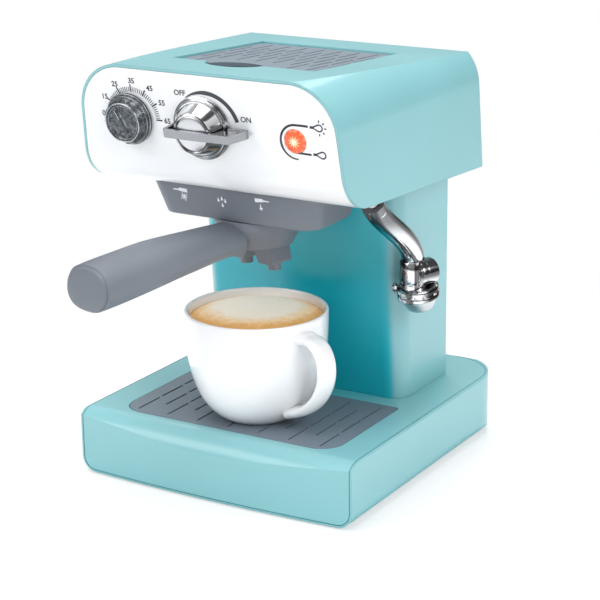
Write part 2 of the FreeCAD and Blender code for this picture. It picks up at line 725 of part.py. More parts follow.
# Brewing group: skirt, collar that the filter holder locks in, and the holder itself
def build_group():
    skirt_high = "head_top - head_tall + 6"
    body = tapered("SkirtBlank", "skirt_half_width", "skirt_front", "skirt_back", "skirt_bottom", skirt_high,
                   "skirt_round")
    room = tapered("SkirtRoom", "skirt_half_width - wall", "skirt_front - wall", "skirt_back - wall",
                   "skirt_bottom + wall", skirt_high + " + 1", "skirt_round - wall")
    cap = head_form("SkirtCap", "-20", "-0.1", "-20", "-20", "-0.1", "head_curl + 0.1")
    mouth = rod("GroupMouth", "collar_radius + clearance", "40", ("0", "-group_ahead", "skirt_bottom - 20"))
    node("group_skirt", cut("GroupSkirt", body, room, cap, mouth))
    node("lock_collar", place_group(turned("LockCollar", [
        ("neck_radius + clearance", "skirt_bottom"), ("collar_radius", "skirt_bottom"),
        ("collar_radius", "skirt_bottom + collar_tall"),
        ("neck_radius - 5", "skirt_bottom + collar_tall"),
        ("neck_radius - 5", "skirt_bottom + collar_tall - 1.7"),
        ("neck_radius + clearance", "skirt_bottom + collar_tall - 1.7")])))
    low = "skirt_bottom + collar_tall + clearance"
    top = "head_top - head_tall + 12"
    node("group_head", place_group(turned("GroupGland", [
        ("0", low), ("collar_radius - 1", low), ("collar_radius - 1", low + " + 3"),
        ("group_pipe_radius", low + " + 3"), ("group_pipe_radius", top), ("0", top)])))


def place_group(thing):
    return move(thing, "0", "-group_ahead", "0")


def tapered(name, half, front, back, low, high, rounding):
    """A block with sloping sides, widest on top, padded down from its upper outline."""
    body = doc.addObject("PartDesign::Body", name)
    sketch, _ = outline(body, "XY", rectangle("-(%s)" % half, half, "-(%s)" % front, "-(%s)" % back))
    sketch.setExpression("AttachmentOffset.Base.z", sized(high))
    pad = body.newObject("PartDesign::Pad", "Taper")
    pad.Profile = sketch
    pad.Reversed = True
    bind(pad, Length="%s - (%s)" % (high, low), TaperAngle="-skirt_taper_degrees")
    doc.recompute()

    def upright(edge):
        return edge.BoundBox.ZLength > 5
    round_edges(body, upright, rounding)
    return body


def handle_spine(reach):
    """The handle's centre line runs forward from the bowl and droops a little in one arc."""
    group_y = -size("group_ahead")
    start = FreeCAD.Vector(0, group_y - size("bowl_radius") + 8, size("handle_root_height"))
    middle = FreeCAD.Vector(0, group_y - 0.6 * reach, size("handle_middle_height"))
    end = FreeCAD.Vector(0, group_y - reach, size("handle_end_height"))
    return start, middle, end


def aimed(label, blank):
    """The turned piece, kept as a set of its own so that both placements stay live."""
    swing = FreeCAD.Rotation(UP, -size("holder_aside_degrees"))
    centre = FreeCAD.Vector(0, -size("group_ahead"), 0)
    blank.Placement = FreeCAD.Placement(FreeCAD.Vector(), swing, centre)
    return node(label, blank)


def oval_wire(centre, along, half_side, half_tall):
    """An oval across a direction in the YZ plane."""
    side = FreeCAD.Vector(1, 0, 0)
    lift = along.cross(side)
    lift.normalize()
    if half_side >= half_tall:
        oval = Part.Ellipse(centre + side * half_side, centre + lift * half_tall, centre)
    else:
        oval = Part.Ellipse(centre + lift * half_tall, centre + side * half_side, centre)
    return Part.Wire([oval.toShape()])


def build_holder():
    rim = "skirt_bottom - 0.5"
    neck_top = "skirt_bottom + collar_tall - 2"
    bowl_low = "skirt_bottom - 2 - bowl_tall"
    bowl = place_group(turned("Bowl", [
        ("0", bowl_low), ("bowl_foot_radius", bowl_low), ("bowl_radius", rim + " - 3.5"), ("bowl_radius", rim),
        ("neck_radius", rim), ("neck_radius", neck_top), ("neck_radius - 2.2", neck_top),
        ("neck_radius - 2.2", rim + " - 2"), ("bowl_foot_radius - 2", bowl_low + " + 3"),
        ("0", bowl_low + " + 3")]))
    start, middle, end = handle_spine(size("handle_reach"))
    arc = Part.Arc(start, middle, end)
    spine = arc.toShape()
    first, last = spine.ParameterRange
    rings = []
    steps = 4
    for step in range(steps + 1):
        share = step / steps
        spot = first + (last - first) * share
        half_tall = size("handle_root_tall") * (1 - share) + size("handle_end_tall") * share
        half_side = size("handle_root_side") * (1 - share) + size("handle_end_side") * share
        rings.append(oval_wire(spine.valueAt(spot), spine.tangentAt(spot), half_side, half_tall))
    shank = shaped("HandleShank", Part.makeLoft(rings, True, False))
    node("holder_bowl", bowl)
    bowl_guard = place_group(turned("BowlGuard", [
        ("0", bowl_low + " - 30"), ("bowl_foot_radius + 0.05", bowl_low + " - 30"),
        ("bowl_foot_radius + 0.05", bowl_low),
        ("bowl_radius + 0.05", rim + " - 3.5"), ("bowl_radius + 0.05", rim + " + 20"),
        ("0", rim + " + 20")]))
    lid_guard = box("HandleTopGuard", ("-60", "-group_ahead - 60", rim), ("120", "120", "30"))
    aimed("holder_handle", cut("HolderHandle", shank, bowl_guard, lid_guard))
    outward = spine.tangentAt(last)
    step = size("handle_cap_step")
    ease = step + size("handle_cap_round")
    cap_ring = oval_wire(spine.valueAt(last), outward, size("handle_end_side") - step,
                         size("handle_end_tall") - step)
    cap_outer = oval_wire(spine.valueAt(last) + outward * size("handle_cap_thick"), outward,
                          size("handle_end_side") - ease, size("handle_end_tall") - ease)
    cap = shaped("HandleEndCap", Part.makeLoft([cap_ring, cap_outer], True, True))
    aimed("handle_end_cap", cap)
    block = prism("SpoutBlock", "XZ",
                  [("-spout_spread - 6", "spout_bottom + 4"), ("-spout_spread + 5", "spout_bottom + 4"),
                   ("-3", bowl_low + " - 4.5"), ("3", bowl_low + " - 4.5"),
                   ("spout_spread - 5", "spout_bottom + 4"), ("spout_spread + 6", "spout_bottom + 4"),
                   ("bowl_foot_radius - 3", bowl_low), ("-bowl_foot_radius + 3", bowl_low)], "15",
                  [((0, 5), "2")])
    move(block, "0", "-group_ahead", "0")
    tips = []
    bores = []
    for side in (-1, 1):
        x = "%d*spout_spread" % side
        tips.append(rod("SpoutTip%d" % (side + 1), "spout_radius", "5", (x, "-group_ahead", "spout_bottom")))
        bores.append(rod("SpoutBore%d" % (side + 1), "spout_radius - 1.4", "8",
                         (x, "-group_ahead", "spout_bottom - 1")))
    aimed("twin_spout", cut("TwinSpout", fuse("SpoutSet", block, *tips), *bores))
    basket = place_group(turned("FilterBasket", [
        ("0", bowl_low + " + 3.1"), ("bowl_foot_radius - 3", bowl_low + " + 3.1"),
        ("neck_radius - 3", rim + " - 2"), ("neck_radius - 3", neck_top + " - 1"),
        ("neck_radius - 4", neck_top + " - 1"), ("neck_radius - 4", rim + " - 2"),
        ("bowl_foot_radius - 4", bowl_low + " + 4.1"), ("0", bowl_low + " + 4.1")]))
    node("filter_basket", basket)


# Steam wand: a thick bent tube on an upright pivot, with a valve barrel and a nozzle
def build_wand():
    x = size("wand_side")
    y = -size("wand_ahead")
    floor_low = number("head_top - head_tall - head_low_drop*(head_front - head_lean - wand_ahead)"
                       "/(head_front - head_lean + head_back)")
    cap_tall = size("wand_cap_tall")
    cap_low = floor_low - 0.5 - cap_tall
    collar_y = y + size("wand_drop")
    collar_top = size("wand_collar_top")
    points = [FreeCAD.Vector(x, y, cap_low),
              FreeCAD.Vector(x, y, cap_low - size("wand_top_run")),
              FreeCAD.Vector(x, collar_y, collar_top + size("wand_low_run")),
              FreeCAD.Vector(x, collar_y, collar_top)]
    bends = (size("wand_top_bend"), size("wand_low_bend"))
    tube = round_pipe(points, size("wand_tube_radius"), bends)
    at_collar = ("wand_side", "wand_drop - wand_ahead")
    node("wand_pivot", fuse("WandPivot",
                            rod("WandPin", "wand_pin_radius", "14",
                                ("wand_side", "-wand_ahead", "%.6g" % (floor_low - 0.5))),
                            rod("WandCap", "wand_tube_radius", "wand_cap_tall",
                                ("wand_side", "-wand_ahead", "%.6g" % cap_low))))
    node("wand_tube", shaped("WandTube", tube))
    centre = FreeCAD.Vector(x, collar_y, 0)
    tip_axis = FreeCAD.Vector(0.10, 0.28, -0.95).normalize()
    valve_axis = FreeCAD.Vector(0.36, 0.93, 0).normalize()
    flange_at = centre + UP * (collar_top - size("wand_collar_tall"))
    nozzle_at = flange_at + tip_axis * size("wand_flange_tall")
    collar_blank = rod("WandCollarBlank", "wand_collar_radius", "wand_collar_tall + 4",
                       at_collar + ("wand_collar_top - wand_collar_tall - 4",))
    below = shaped("BelowCollar", Part.makeCylinder(30, 30, flange_at, tip_axis))
    node("wand_collar", cut("WandCollar", collar_blank, below))
    valve_at = centre + FreeCAD.Vector(size("wand_valve_side"), -size("wand_valve_ahead"),
                                       collar_top - size("wand_valve_drop"))
    barrel = shaped("WandBarrel", Part.makeCylinder(size("wand_valve_radius"), size("wand_valve_long"),
                                                    valve_at, valve_axis))
    guard = rod("ValveTrim", "wand_collar_radius + running_gap", "60", at_collar + ("90",))
    tube_guard = shaped("TubeTrim", round_pipe(points, size("wand_tube_radius") + 0.1, bends))
    node("wand_valve", cut("WandValve", barrel, guard, below, tube_guard))
    node("wand_flange", shaped("WandFlange", Part.makeCylinder(
        size("wand_flange_radius"), size("wand_flange_tall"), flange_at, tip_axis)))
    nozzle_tall = size("wand_nozzle_tall")
    bore_deep = size("wand_bore_deep")
    bore = Part.makeCylinder(size("wand_bore_radius"), bore_deep + 2.5,
                             nozzle_at + tip_axis * (nozzle_tall - bore_deep), tip_axis)
    nozzle = Part.makeCone(size("wand_flange_radius") - 1.0, size("wand_nozzle_radius"), nozzle_tall,
                           nozzle_at, tip_axis)
    node("wand_nozzle", shaped("WandNozzle", nozzle.cut(bore)))


def round_pipe(points, radius, bends):
    """Straight runs with tangent arcs at the inner points, swept with a round section."""
    edges = []
    last = points[0]
    for index, bend in enumerate(bends, start=1):
        corner = points[index]
        back = (last - corner).normalize()
        on = (points[index + 1] - corner).normalize()
        half = back.getAngle(on) / 2
        trim = bend / math.tan(half)
        first = corner + back * trim
        second = corner + on * trim
        centre = corner + (back + on).normalize() * (bend / math.sin(half))
        middle = centre + (corner - centre).normalize() * bend
        if (first - last).Length > 1e-6:
            edges.append(Part.LineSegment(last, first).toShape())
        edges.append(Part.Arc(first, middle, second).toShape())
        last = second
    edges.append(Part.LineSegment(last, points[-1]).toShape())
    path = Part.Wire(edges)
    ring = Part.Wire([Part.Circle(points[0], points[1] - points[0], radius).toShape()])
    return path.makePipeShell([ring], True, False)


# Cup with its handle and the coffee insert
def build_cup():
    low = "base_top + 0.1"
    high = low + " + cup_tall"
    rim = "cup_rim_radius"
    foot = "cup_foot_radius"
    profile = [("0", low + " + 1.2"), (foot + " - 2.5", low + " + 1.2"), (foot + " - 2", low), (foot, low),
               (foot + " + 6.5", low + " + 6"), (foot + " + 12.5", low + " + 15"),
               (foot + " + 16.6", low + " + 27"), (foot + " + 18.6", low + " + 40"), (rim, high + " - 1"),
               (rim + " - 0.8", high), (rim + " - cup_wall + 0.6", high), (rim + " - cup_wall", high + " - 1"),
               (foot + " + 18.4 - cup_wall", low + " + 40"), (foot + " + 16.4 - cup_wall", low + " + 27"),
               (foot + " + 12 - cup_wall", low + " + 16"), (foot + " + 5 - cup_wall", low + " + 7"),
               ("0", low + " + 4")]
    wall = turned("CupWall", profile)
    move(wall, "cup_side", "-cup_ahead", "0")
    middle = FreeCAD.Vector(size("cup_side"), -size("cup_ahead"), 0)
    swing = math.radians(size("cup_handle_degrees"))
    facing = FreeCAD.Vector(math.cos(swing), -math.sin(swing), 0)
    bottom = number(low)
    spots = [(30, 9), (45, 16), (57, 33), (57, 46), (46, 53), (34, 52.5)]
    points = [middle + facing * reach + UP * (bottom + lift) for reach, lift in spots]
    grip = round_pipe(points, size("cup_handle_radius"), (8.0, 14.0, 9.0, 7.0))
    guard = turned("CupGuard", [("0", low), (foot, low), (foot + " + 6.3", low + " + 6"),
                                (foot + " + 12.3", low + " + 15"), (foot + " + 16.4", low + " + 27"),
                                (foot + " + 18.4", low + " + 40"), (rim + " - 0.2", high), ("0", high)])
    move(guard, "cup_side", "-cup_ahead", "0")
    node("cup", fuse("CupSet", wall, cut("CupGrip", shaped("CupGripBlank", grip), guard)))
    level = high + " - coffee_below_rim"
    coffee = turned("CoffeeTop", [("0", level + " - 3"), (rim + " - cup_wall - 1.2", level + " - 3"),
                                  (rim + " - cup_wall - 0.4", level),
                                  ("cup_rim_radius*0.5", level + " + 1.6"), ("0", level + " + 2")])
    move(coffee, "cup_side", "-cup_ahead", "0")
    node("coffee_insert", coffee)


def build_speaker():
    floor = "foot_height + base_floor_thick"
    rim = rod("SpeakerRim", "speaker_radius", "3", ("0", "speaker_back", floor))
    magnet = rod("SpeakerMagnet", "speaker_radius/2", "7", ("0", "speaker_back", floor))
    node("speaker", fuse("Speaker", rim, magnet))


build_base()
build_grate()
build_column()
build_batteries()
build_head()
build_lid()
build_dial()
build_switch()
build_lamp()
build_group()
build_holder()
build_wand()
build_cup()
build_speaker()
doc.removeObject(probe.Name)
doc.recompute()

# Every object must be sound before anything is written
for thing in doc.Objects:
    if "Invalid" in thing.State or "Error" in thing.State:
        raise RuntimeError("failed: %s %s" % (thing.Label, thing.State))
for label, thing in NODES.items():
    if thing.Shape.isNull() or not thing.Shape.isValid() or not thing.Shape.Solids:
        raise RuntimeError("bad shape: " + label)

# The frame's origin is the middle of the whole footprint, at the feet
whole = FreeCAD.BoundBox()
for thing in NODES.values():
    whole.add(thing.Shape.optimalBoundingBox(False))
shift = FreeCAD.Vector(-whole.Center.x, -whole.Center.y, -whole.ZMin)
os.makedirs("parts", exist_ok=True)
for label, thing in NODES.items():
    placed = thing.Shape.copy()
    placed.translate(shift)
    placed.exportStep("parts/%s.step" % label)
print("shift", shift, "box", whole)
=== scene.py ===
import json
import math
import random
import bmesh
import bpy
from mathutils import Matrix, Vector


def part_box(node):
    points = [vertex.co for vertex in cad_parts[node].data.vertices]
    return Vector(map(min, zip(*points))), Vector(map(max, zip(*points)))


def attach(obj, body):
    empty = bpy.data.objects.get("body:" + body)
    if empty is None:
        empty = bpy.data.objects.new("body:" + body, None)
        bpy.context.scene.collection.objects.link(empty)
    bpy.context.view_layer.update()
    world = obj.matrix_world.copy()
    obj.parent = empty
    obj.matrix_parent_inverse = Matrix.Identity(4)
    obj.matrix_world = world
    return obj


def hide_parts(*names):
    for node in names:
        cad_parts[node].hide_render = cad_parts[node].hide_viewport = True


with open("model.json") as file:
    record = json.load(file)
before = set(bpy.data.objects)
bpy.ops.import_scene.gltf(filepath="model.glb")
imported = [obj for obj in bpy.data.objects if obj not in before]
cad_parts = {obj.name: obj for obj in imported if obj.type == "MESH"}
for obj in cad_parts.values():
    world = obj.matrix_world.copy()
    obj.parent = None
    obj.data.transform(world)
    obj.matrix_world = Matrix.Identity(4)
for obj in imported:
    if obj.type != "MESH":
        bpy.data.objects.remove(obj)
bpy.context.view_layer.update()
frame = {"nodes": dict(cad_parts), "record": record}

nodes = frame["nodes"]
rng = random.Random(7)

# The machine's own origin: middle of the base, with the base's front edge 101 mm ahead of it
base_low, base_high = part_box("base_shell")
ORIGIN = Vector(((base_low.x + base_high.x) / 2, base_low.y + 0.101, 0))


def at(x, y, z):
    """A point given in millimetres from the middle of the machine."""
    return ORIGIN + Vector((x, y, z)) / 1000


def put(name, data, place):
    """An object of its own for some data, at a matrix."""
    thing = bpy.data.objects.new(name, data)
    thing.matrix_world = place
    bpy.context.scene.collection.objects.link(thing)
    return thing


# Camera, set to the photograph's viewing angle
CAMERA_SPOT = (557.713, -924.784, 425.025)
CAMERA_TURNS = (0.543, 0.301, -0.012)
CAMERA_LENS = 116.42


def make_camera():
    """The camera, by its place and by how far it turns, dips and rolls."""
    yaw, pitch, roll = CAMERA_TURNS
    ahead = Vector((-math.sin(yaw) * math.cos(pitch), math.cos(yaw) * math.cos(pitch), -math.sin(pitch)))
    right = Vector((math.cos(yaw), math.sin(yaw), 0))
    up = right.cross(ahead)
    right_rolled = right * math.cos(roll) + up * math.sin(roll)
    up_rolled = up * math.cos(roll) - right * math.sin(roll)
    data = bpy.data.cameras.new("Camera")
    data.sensor_width = 36
    data.lens = CAMERA_LENS
    data.clip_end = 20
    turn = Matrix((right_rolled, up_rolled, -ahead)).transposed().to_4x4()
    bpy.context.scene.camera = put("Camera", data, Matrix.Translation(at(*CAMERA_SPOT)) @ turn)


# Shader node helpers
def link(tree, source, target):
    tree.links.new(source, target)


def add(tree, kind, **settings):
    """A node whose settings are its own values or its sockets, with _ for a blank in a socket's name."""
    node = tree.nodes.new(kind)
    for name, value in settings.items():
        if hasattr(node, name):
            setattr(node, name, value)
        else:
            node.inputs[name.replace("_", " ")].default_value = value
    return node


def math_node(tree, operation, *values):
    """The outcome of a sum on numbers or sockets."""
    node = add(tree, "ShaderNodeMath", operation=operation)
    for socket, value in zip(node.inputs, values):
        if isinstance(value, (int, float)):
            socket.default_value = value
        else:
            link(tree, value, socket)
    return node.outputs[0]


def remap(tree, value, start, end, first=0.0, last=1.0, kind="LINEAR"):
    """Takes a value from one range to another."""
    node = add(tree, "ShaderNodeMapRange", interpolation_type=kind, From_Min=start, From_Max=end,
               To_Min=first, To_Max=last)
    link(tree, value, node.inputs["Value"])
    return node.outputs["Result"]


def colour_ramp(tree, value, stops, kind="LINEAR"):
    """Turns a value into a colour by (place, colour) stops in rising order."""
    ramp = add(tree, "ShaderNodeValToRGB")
    ramp.color_ramp.interpolation = kind
    elements = ramp.color_ramp.elements
    for element, (spot, colour) in zip(elements[:], (stops[0], stops[-1])):
        element.position = spot
        element.color = (*colour, 1)
    for spot, colour in stops[1:-1]:
        elements.new(spot).color = (*colour, 1)
    link(tree, value, ramp.inputs["Fac"])
    return ramp.outputs["Color"]


def split_axes(tree, vector):
    """The X, Y and Z parts of a vector socket."""
    split = add(tree, "ShaderNodeSeparateXYZ")
    link(tree, vector, split.inputs[0])
    return split.outputs


def length_of(tree, vector):
    """How long a vector socket is."""
    node = add(tree, "ShaderNodeVectorMath", operation="LENGTH")
    link(tree, vector, node.inputs[0])
    return node.outputs["Value"]


def mix_shaders(tree, share, first, second, target):
    """Shows the first shader, and the second one by a share."""
    mix = add(tree, "ShaderNodeMixShader")
    link(tree, share, mix.inputs["Fac"])
    link(tree, first.outputs[0], mix.inputs[1])
    link(tree, second.outputs[0], mix.inputs[2])
    link(tree, mix.outputs[0], target.inputs["Surface"])


# Lights, floor and white surround
def area_light(name, place, target, wide, power):
    """A square lamp at a world point, turned to a target."""
    data = bpy.data.lights.new(name, "AREA")
    data.shape = "RECTANGLE"
    data.size = wide
    data.size_y = wide
    data.energy = power
    aim = (Vector(target) - Vector(place)).to_track_quat("-Z", "Y").to_matrix().to_4x4()
    put(name, data, Matrix.Translation(place) @ aim)


def make_world():
    """White to the camera, and to everything else a soft studio that is darker at the horizon."""
    world = bpy.data.worlds.new("Surround")
    bpy.context.scene.world = world
    world.use_nodes = True
    tree = world.node_tree
    tree.nodes.clear()
    path = add(tree, "ShaderNodeLightPath")
    seen = add(tree, "ShaderNodeBackground", Color=(1, 1, 1, 1), Strength=1.0)
    fill = add(tree, "ShaderNodeBackground", Strength=0.5)
    height = split_axes(tree, add(tree, "ShaderNodeTexCoord").outputs["Generated"])["Z"]
    levels = ((0.0, 0.75), (0.44, 0.55), (0.515, 0.20), (0.58, 0.52), (0.66, 0.40), (0.74, 0.95),
              (0.86, 1.0), (1.0, 0.9))
    shade = colour_ramp(tree, math_node(tree, "MULTIPLY_ADD", height, 0.5, 0.5),
                        [(spot, (level,) * 3) for spot, level in levels])
    link(tree, shade, fill.inputs["Color"])
    out = add(tree, "ShaderNodeOutputWorld")
    mix_shaders(tree, path.outputs["Is Camera Ray"], fill, seen, out)


def make_stage():
    """A pale floor that keeps the shadow and fades to white away from the object."""
    bpy.ops.mesh.primitive_circle_add(vertices=96, radius=2.4, fill_type="NGON", location=at(0, 0, 0))
    floor = bpy.context.object
    floor.name = "floor"
    mat = bpy.data.materials.new("pale_floor")
    mat.use_nodes = True
    tree = mat.node_tree
    shader = tree.nodes["Principled BSDF"]
    shader.inputs["Base Color"].default_value = (0.93, 0.94, 0.95, 1)
    shader.inputs["Roughness"].default_value = 0.75
    path = add(tree, "ShaderNodeLightPath")
    glow = add(tree, "ShaderNodeEmission", Color=(1, 1, 1, 1))
    reach = length_of(tree, add(tree, "ShaderNodeTexCoord").outputs["Object"])
    fade = remap(tree, reach, 0.16, 0.42, 0.55, 1.0, "SMOOTHSTEP")
    share = math_node(tree, "MULTIPLY", path.outputs["Is Camera Ray"], fade)
    mix_shaders(tree, share, shader, glow, tree.nodes["Material Output"])
    floor.data.materials.append(mat)


def make_lights():
    """Four soft lamps, all turned to the object: where they hang, their width in metres and their power."""
    for name, spot, aim, wide, power in (("KeyLeft", (-900, -1300, 1000), 120, 1.1, 12.5),
                                         ("FillRight", (1220, -500, 900), 120, 0.9, 11),
                                         ("Top", (0, -100, 1500), 100, 1.0, 14),
                                         ("Back", (-500, 1000, 1400), 150, 0.9, 9)):
        area_light(name, at(*spot), at(0, 0, aim), wide, power)


# Materials
def surface(name, colour, roughness, metallic=0.0, coat=0.0, shade=0.06, grain=900, bump=0.00002,
            edge=0.0005, rough_swing=0.08):
    """A plastic or metal with soft colour drift, fine grain in its bump and gloss, and eased edges."""
    mat = bpy.data.materials.new(name)
    mat.use_nodes = True
    tree = mat.node_tree
    shader = tree.nodes["Principled BSDF"]
    shader.inputs["Metallic"].default_value = metallic
    shader.inputs["Coat Weight"].default_value = coat
    shader.inputs["Coat Roughness"].default_value = 0.18
    place = add(tree, "ShaderNodeTexCoord")
    drift = add(tree, "ShaderNodeTexNoise", Scale=14.0, Detail=3.0)
    link(tree, place.outputs["Object"], drift.inputs["Vector"])
    darker = tuple(c * (1 - shade) for c in colour)
    lighter = tuple(min(1, c * (1 + shade)) for c in colour)
    tone = colour_ramp(tree, drift.outputs["Fac"], [(0.3, darker), (0.7, lighter)])
    link(tree, tone, shader.inputs["Base Color"])
    gloss = remap(tree, drift.outputs["Fac"], 0.0, 1.0, max(0.02, roughness - rough_swing),
                  min(1, roughness + rough_swing))
    link(tree, gloss, shader.inputs["Roughness"])
    fine = add(tree, "ShaderNodeTexNoise", Scale=float(grain), Detail=4.0)
    link(tree, place.outputs["Object"], fine.inputs["Vector"])
    eased = add(tree, "ShaderNodeBevel", samples=4, Radius=edge)
    press = add(tree, "ShaderNodeBump", Distance=bump, Strength=0.5)
    link(tree, fine.outputs["Fac"], press.inputs["Height"])
    link(tree, eased.outputs["Normal"], press.inputs["Normal"])
    link(tree, press.outputs["Normal"], shader.inputs["Normal"])
    return mat


def opened(mat):
    """A material's tree, its coordinates, its colour socket and what feeds that."""
    tree = mat.node_tree
    place = next(node for node in tree.nodes if node.type == "TEX_COORD")
    colour = tree.nodes["Principled BSDF"].inputs["Base Color"]
    return tree, place.outputs, colour, colour.links[0].from_socket


def blend(tree, share, first, second, target, kind="MIX"):
    """Feeds a colour socket with one colour passing into another; each is a colour or a socket."""
    mix = add(tree, "ShaderNodeMixRGB", blend_type=kind)
    for name, value in (("Fac", share), ("Color1", first), ("Color2", second)):
        if isinstance(value, float):
            mix.inputs[name].default_value = value
        elif isinstance(value, tuple):
            mix.inputs[name].default_value = (*value, 1)
        else:
            link(tree, value, mix.inputs[name])
    link(tree, mix.outputs["Color"], target)
    return mix.outputs["Color"]


def mottled(name, dark, light, roughness, metallic, scale, bump):
    """Dark metal with a hammered, marbled finish."""
    mat = surface(name, dark, roughness, metallic=metallic, bump=bump, grain=scale * 2)
    tree, place, colour, _ = opened(mat)
    swirl = add(tree, "ShaderNodeTexNoise", Scale=float(scale), Detail=5.0, Distortion=1.6)
    link(tree, place["Object"], swirl.inputs["Vector"])
    link(tree, colour_ramp(tree, swirl.outputs["Fac"], [(0.38, dark), (0.66, light)]), colour)
    return mat


def deepen(mat, deep, reach=0.07):
    """Painted shade: lets the colour sink to a deeper one where the surface is shut in by others, by ambient
    occlusion.
    """
    tree, _, colour, source = opened(mat)
    hollow = add(tree, "ShaderNodeAmbientOcclusion", samples=8, Distance=reach)
    blend(tree, remap(tree, hollow.outputs["AO"], 0.1, 0.62, kind="SMOOTHSTEP"), deep, source, colour)


def front_shade(mat, deep):
    """Painted shade: lets the front of an upright body sink to a deeper tone, and its rounded corners stay
    light as if lit.
    """
    tree, place, colour, source = opened(mat)
    facing = split_axes(tree, place["Normal"])["Y"]
    blend(tree, remap(tree, facing, -0.999, -0.8, kind="SMOOTHERSTEP"), deep, source, colour)


def streaked(mat, bands, coordinate):
    """Painted reflections: dark and bright bands in polished metal, by the angle round the Z axis of a
    coordinate, as (degrees, level) from -180 to 180."""
    tree, place, colour, _ = opened(mat)
    axes = split_axes(tree, place[coordinate])
    share = remap(tree, math_node(tree, "ARCTAN2", axes["Y"], axes["X"]), -math.pi, math.pi)
    stops = [((degrees + 180) / 360, (level, level * 1.01, level * 1.03)) for degrees, level in bands]
    stops[0] = (0.0, (bands[0][1],) * 3)
    stops[-1] = (1.0, (bands[-1][1],) * 3)
    link(tree, colour_ramp(tree, share, stops, "EASE"), colour)


def darker_above(mat, start, end, share, deep):
    """Lets the colour pass into a deeper one between two heights in metres."""
    tree, place, colour, source = opened(mat)
    height = split_axes(tree, place["Object"])["Z"]
    blend(tree, remap(tree, height, start, end, 0.0, share, "SMOOTHSTEP"), source, deep, colour)


TEAL_LOOK = dict(coat=0.35, shade=0.025, bump=0.000012, grain=1400, edge=0.0009)
TEAL_COLOUR = (0.225, 0.500, 0.535)
TEAL = surface("teal_gloss", TEAL_COLOUR, 0.34, **TEAL_LOOK)
# Painted shade: the teal shell sinks to a deeper teal in hollows and under other parts.
deepen(TEAL, (0.02, 0.40, 0.45))
# The column's forward-facing front carries painted shade: a deeper teal, with lighter rounded corners.
TEAL_COLUMN = surface("teal_column", TEAL_COLOUR, 0.34, **TEAL_LOOK)
front_shade(TEAL_COLUMN, (0.006, 0.43, 0.52))
WHITE = surface("white_gloss", (0.86, 0.875, 0.90), 0.22, coat=0.5, shade=0.012, bump=0.000008, grain=1200,
                edge=0.0006)
GREY = surface("grey_satin", (0.155, 0.175, 0.205), 0.46, shade=0.05, bump=0.00003, grain=2200, edge=0.0006)
GREY_DARK = surface("grey_grate", (0.150, 0.190, 0.230), 0.5, shade=0.06, bump=0.00004, grain=1800,
                    edge=0.0004)
CHROME = surface("chrome", (0.62, 0.63, 0.65), 0.09, metallic=1.0, shade=0.03, bump=0.000006, grain=700,
                 edge=0.0004, rough_swing=0.04)
SATIN = surface("satin_metal", (0.62, 0.63, 0.65), 0.27, metallic=0.9, shade=0.05, bump=0.00001, grain=2600,
                edge=0.0004)
PIPE = surface("pipe_chrome", (0.6, 0.6, 0.6), 0.11, metallic=1.0, shade=0.03, bump=0.000006, grain=700)
# Painted reflections: the steam pipe's dark and bright lengthwise streaks stand in for its surroundings
# mirrored in chrome.
streaked(PIPE, [(-180, 0.45), (-150, 0.30), (-138, 0.06), (-104, 0.07), (-92, 0.35), (-80, 0.95),
                (-62, 0.80), (-54, 0.10), (-42, 0.16), (-30, 0.85), (-8, 0.75), (6, 0.12), (28, 0.10),
                (60, 0.6), (95, 0.9), (120, 0.12), (150, 0.35), (180, 0.45)], "Normal")
# Painted shade: the pipe's top, where it rises under the head, turns almost black.
darker_above(PIPE, 0.144, 0.158, 0.8, (0.07, 0.07, 0.075))
BELL = surface("bell_chrome", (0.6, 0.6, 0.6), 0.12, metallic=1.0, shade=0.03, bump=0.000006, grain=700)
# Painted reflections: the switch bell's dark and bright wedges stand in for glints on its chrome.
streaked(BELL, [(-180, 0.30), (-150, 0.50), (-115, 0.08), (-95, 0.12), (-75, 0.62), (-50, 0.22), (-22, 0.07),
                (6, 0.10), (14, 0.70), (22, 0.10), (44, 0.14), (70, 0.72), (100, 0.95), (124, 0.75),
                (146, 0.12), (162, 0.55), (172, 0.25), (180, 0.30)], "Object")
STRAP = surface("strap_metal", (0.30, 0.31, 0.33), 0.24, metallic=0.95, shade=0.12, bump=0.00001, grain=2600)
GUNMETAL = mottled("gunmetal_mottle", (0.045, 0.052, 0.058), (0.17, 0.185, 0.20), 0.30, 0.8, 300, 0.00006)
RIM = surface("rim_metal", (0.42, 0.44, 0.46), 0.2, metallic=1.0, shade=0.1)
SEAM = surface("seam_shadow", (0.03, 0.16, 0.18), 0.6, shade=0.1)
DARK = surface("dark_plastic", (0.02, 0.02, 0.022), 0.5, shade=0.1)
RUBBER = surface("foot_rubber", (0.03, 0.03, 0.032), 0.8, shade=0.15, bump=0.00006)
STEEL = surface("screw_steel", (0.55, 0.55, 0.57), 0.3, metallic=1.0, shade=0.08)
BOARD = surface("board_green", (0.01, 0.12, 0.05), 0.4, shade=0.15)
JACKET = surface("cell_jacket", (0.05, 0.06, 0.08), 0.35, shade=0.15)
CHINA = surface("white_china", (0.88, 0.885, 0.90), 0.14, coat=0.6, shade=0.01, bump=0.000006, grain=500)
INK = surface("ink_black", (0.02, 0.022, 0.026), 0.45, shade=0.1)
INK_GREY = surface("ink_grey", (0.045, 0.05, 0.056), 0.45, shade=0.1)
INK_WHITE = surface("ink_white", (0.80, 0.82, 0.85), 0.5, shade=0.03)

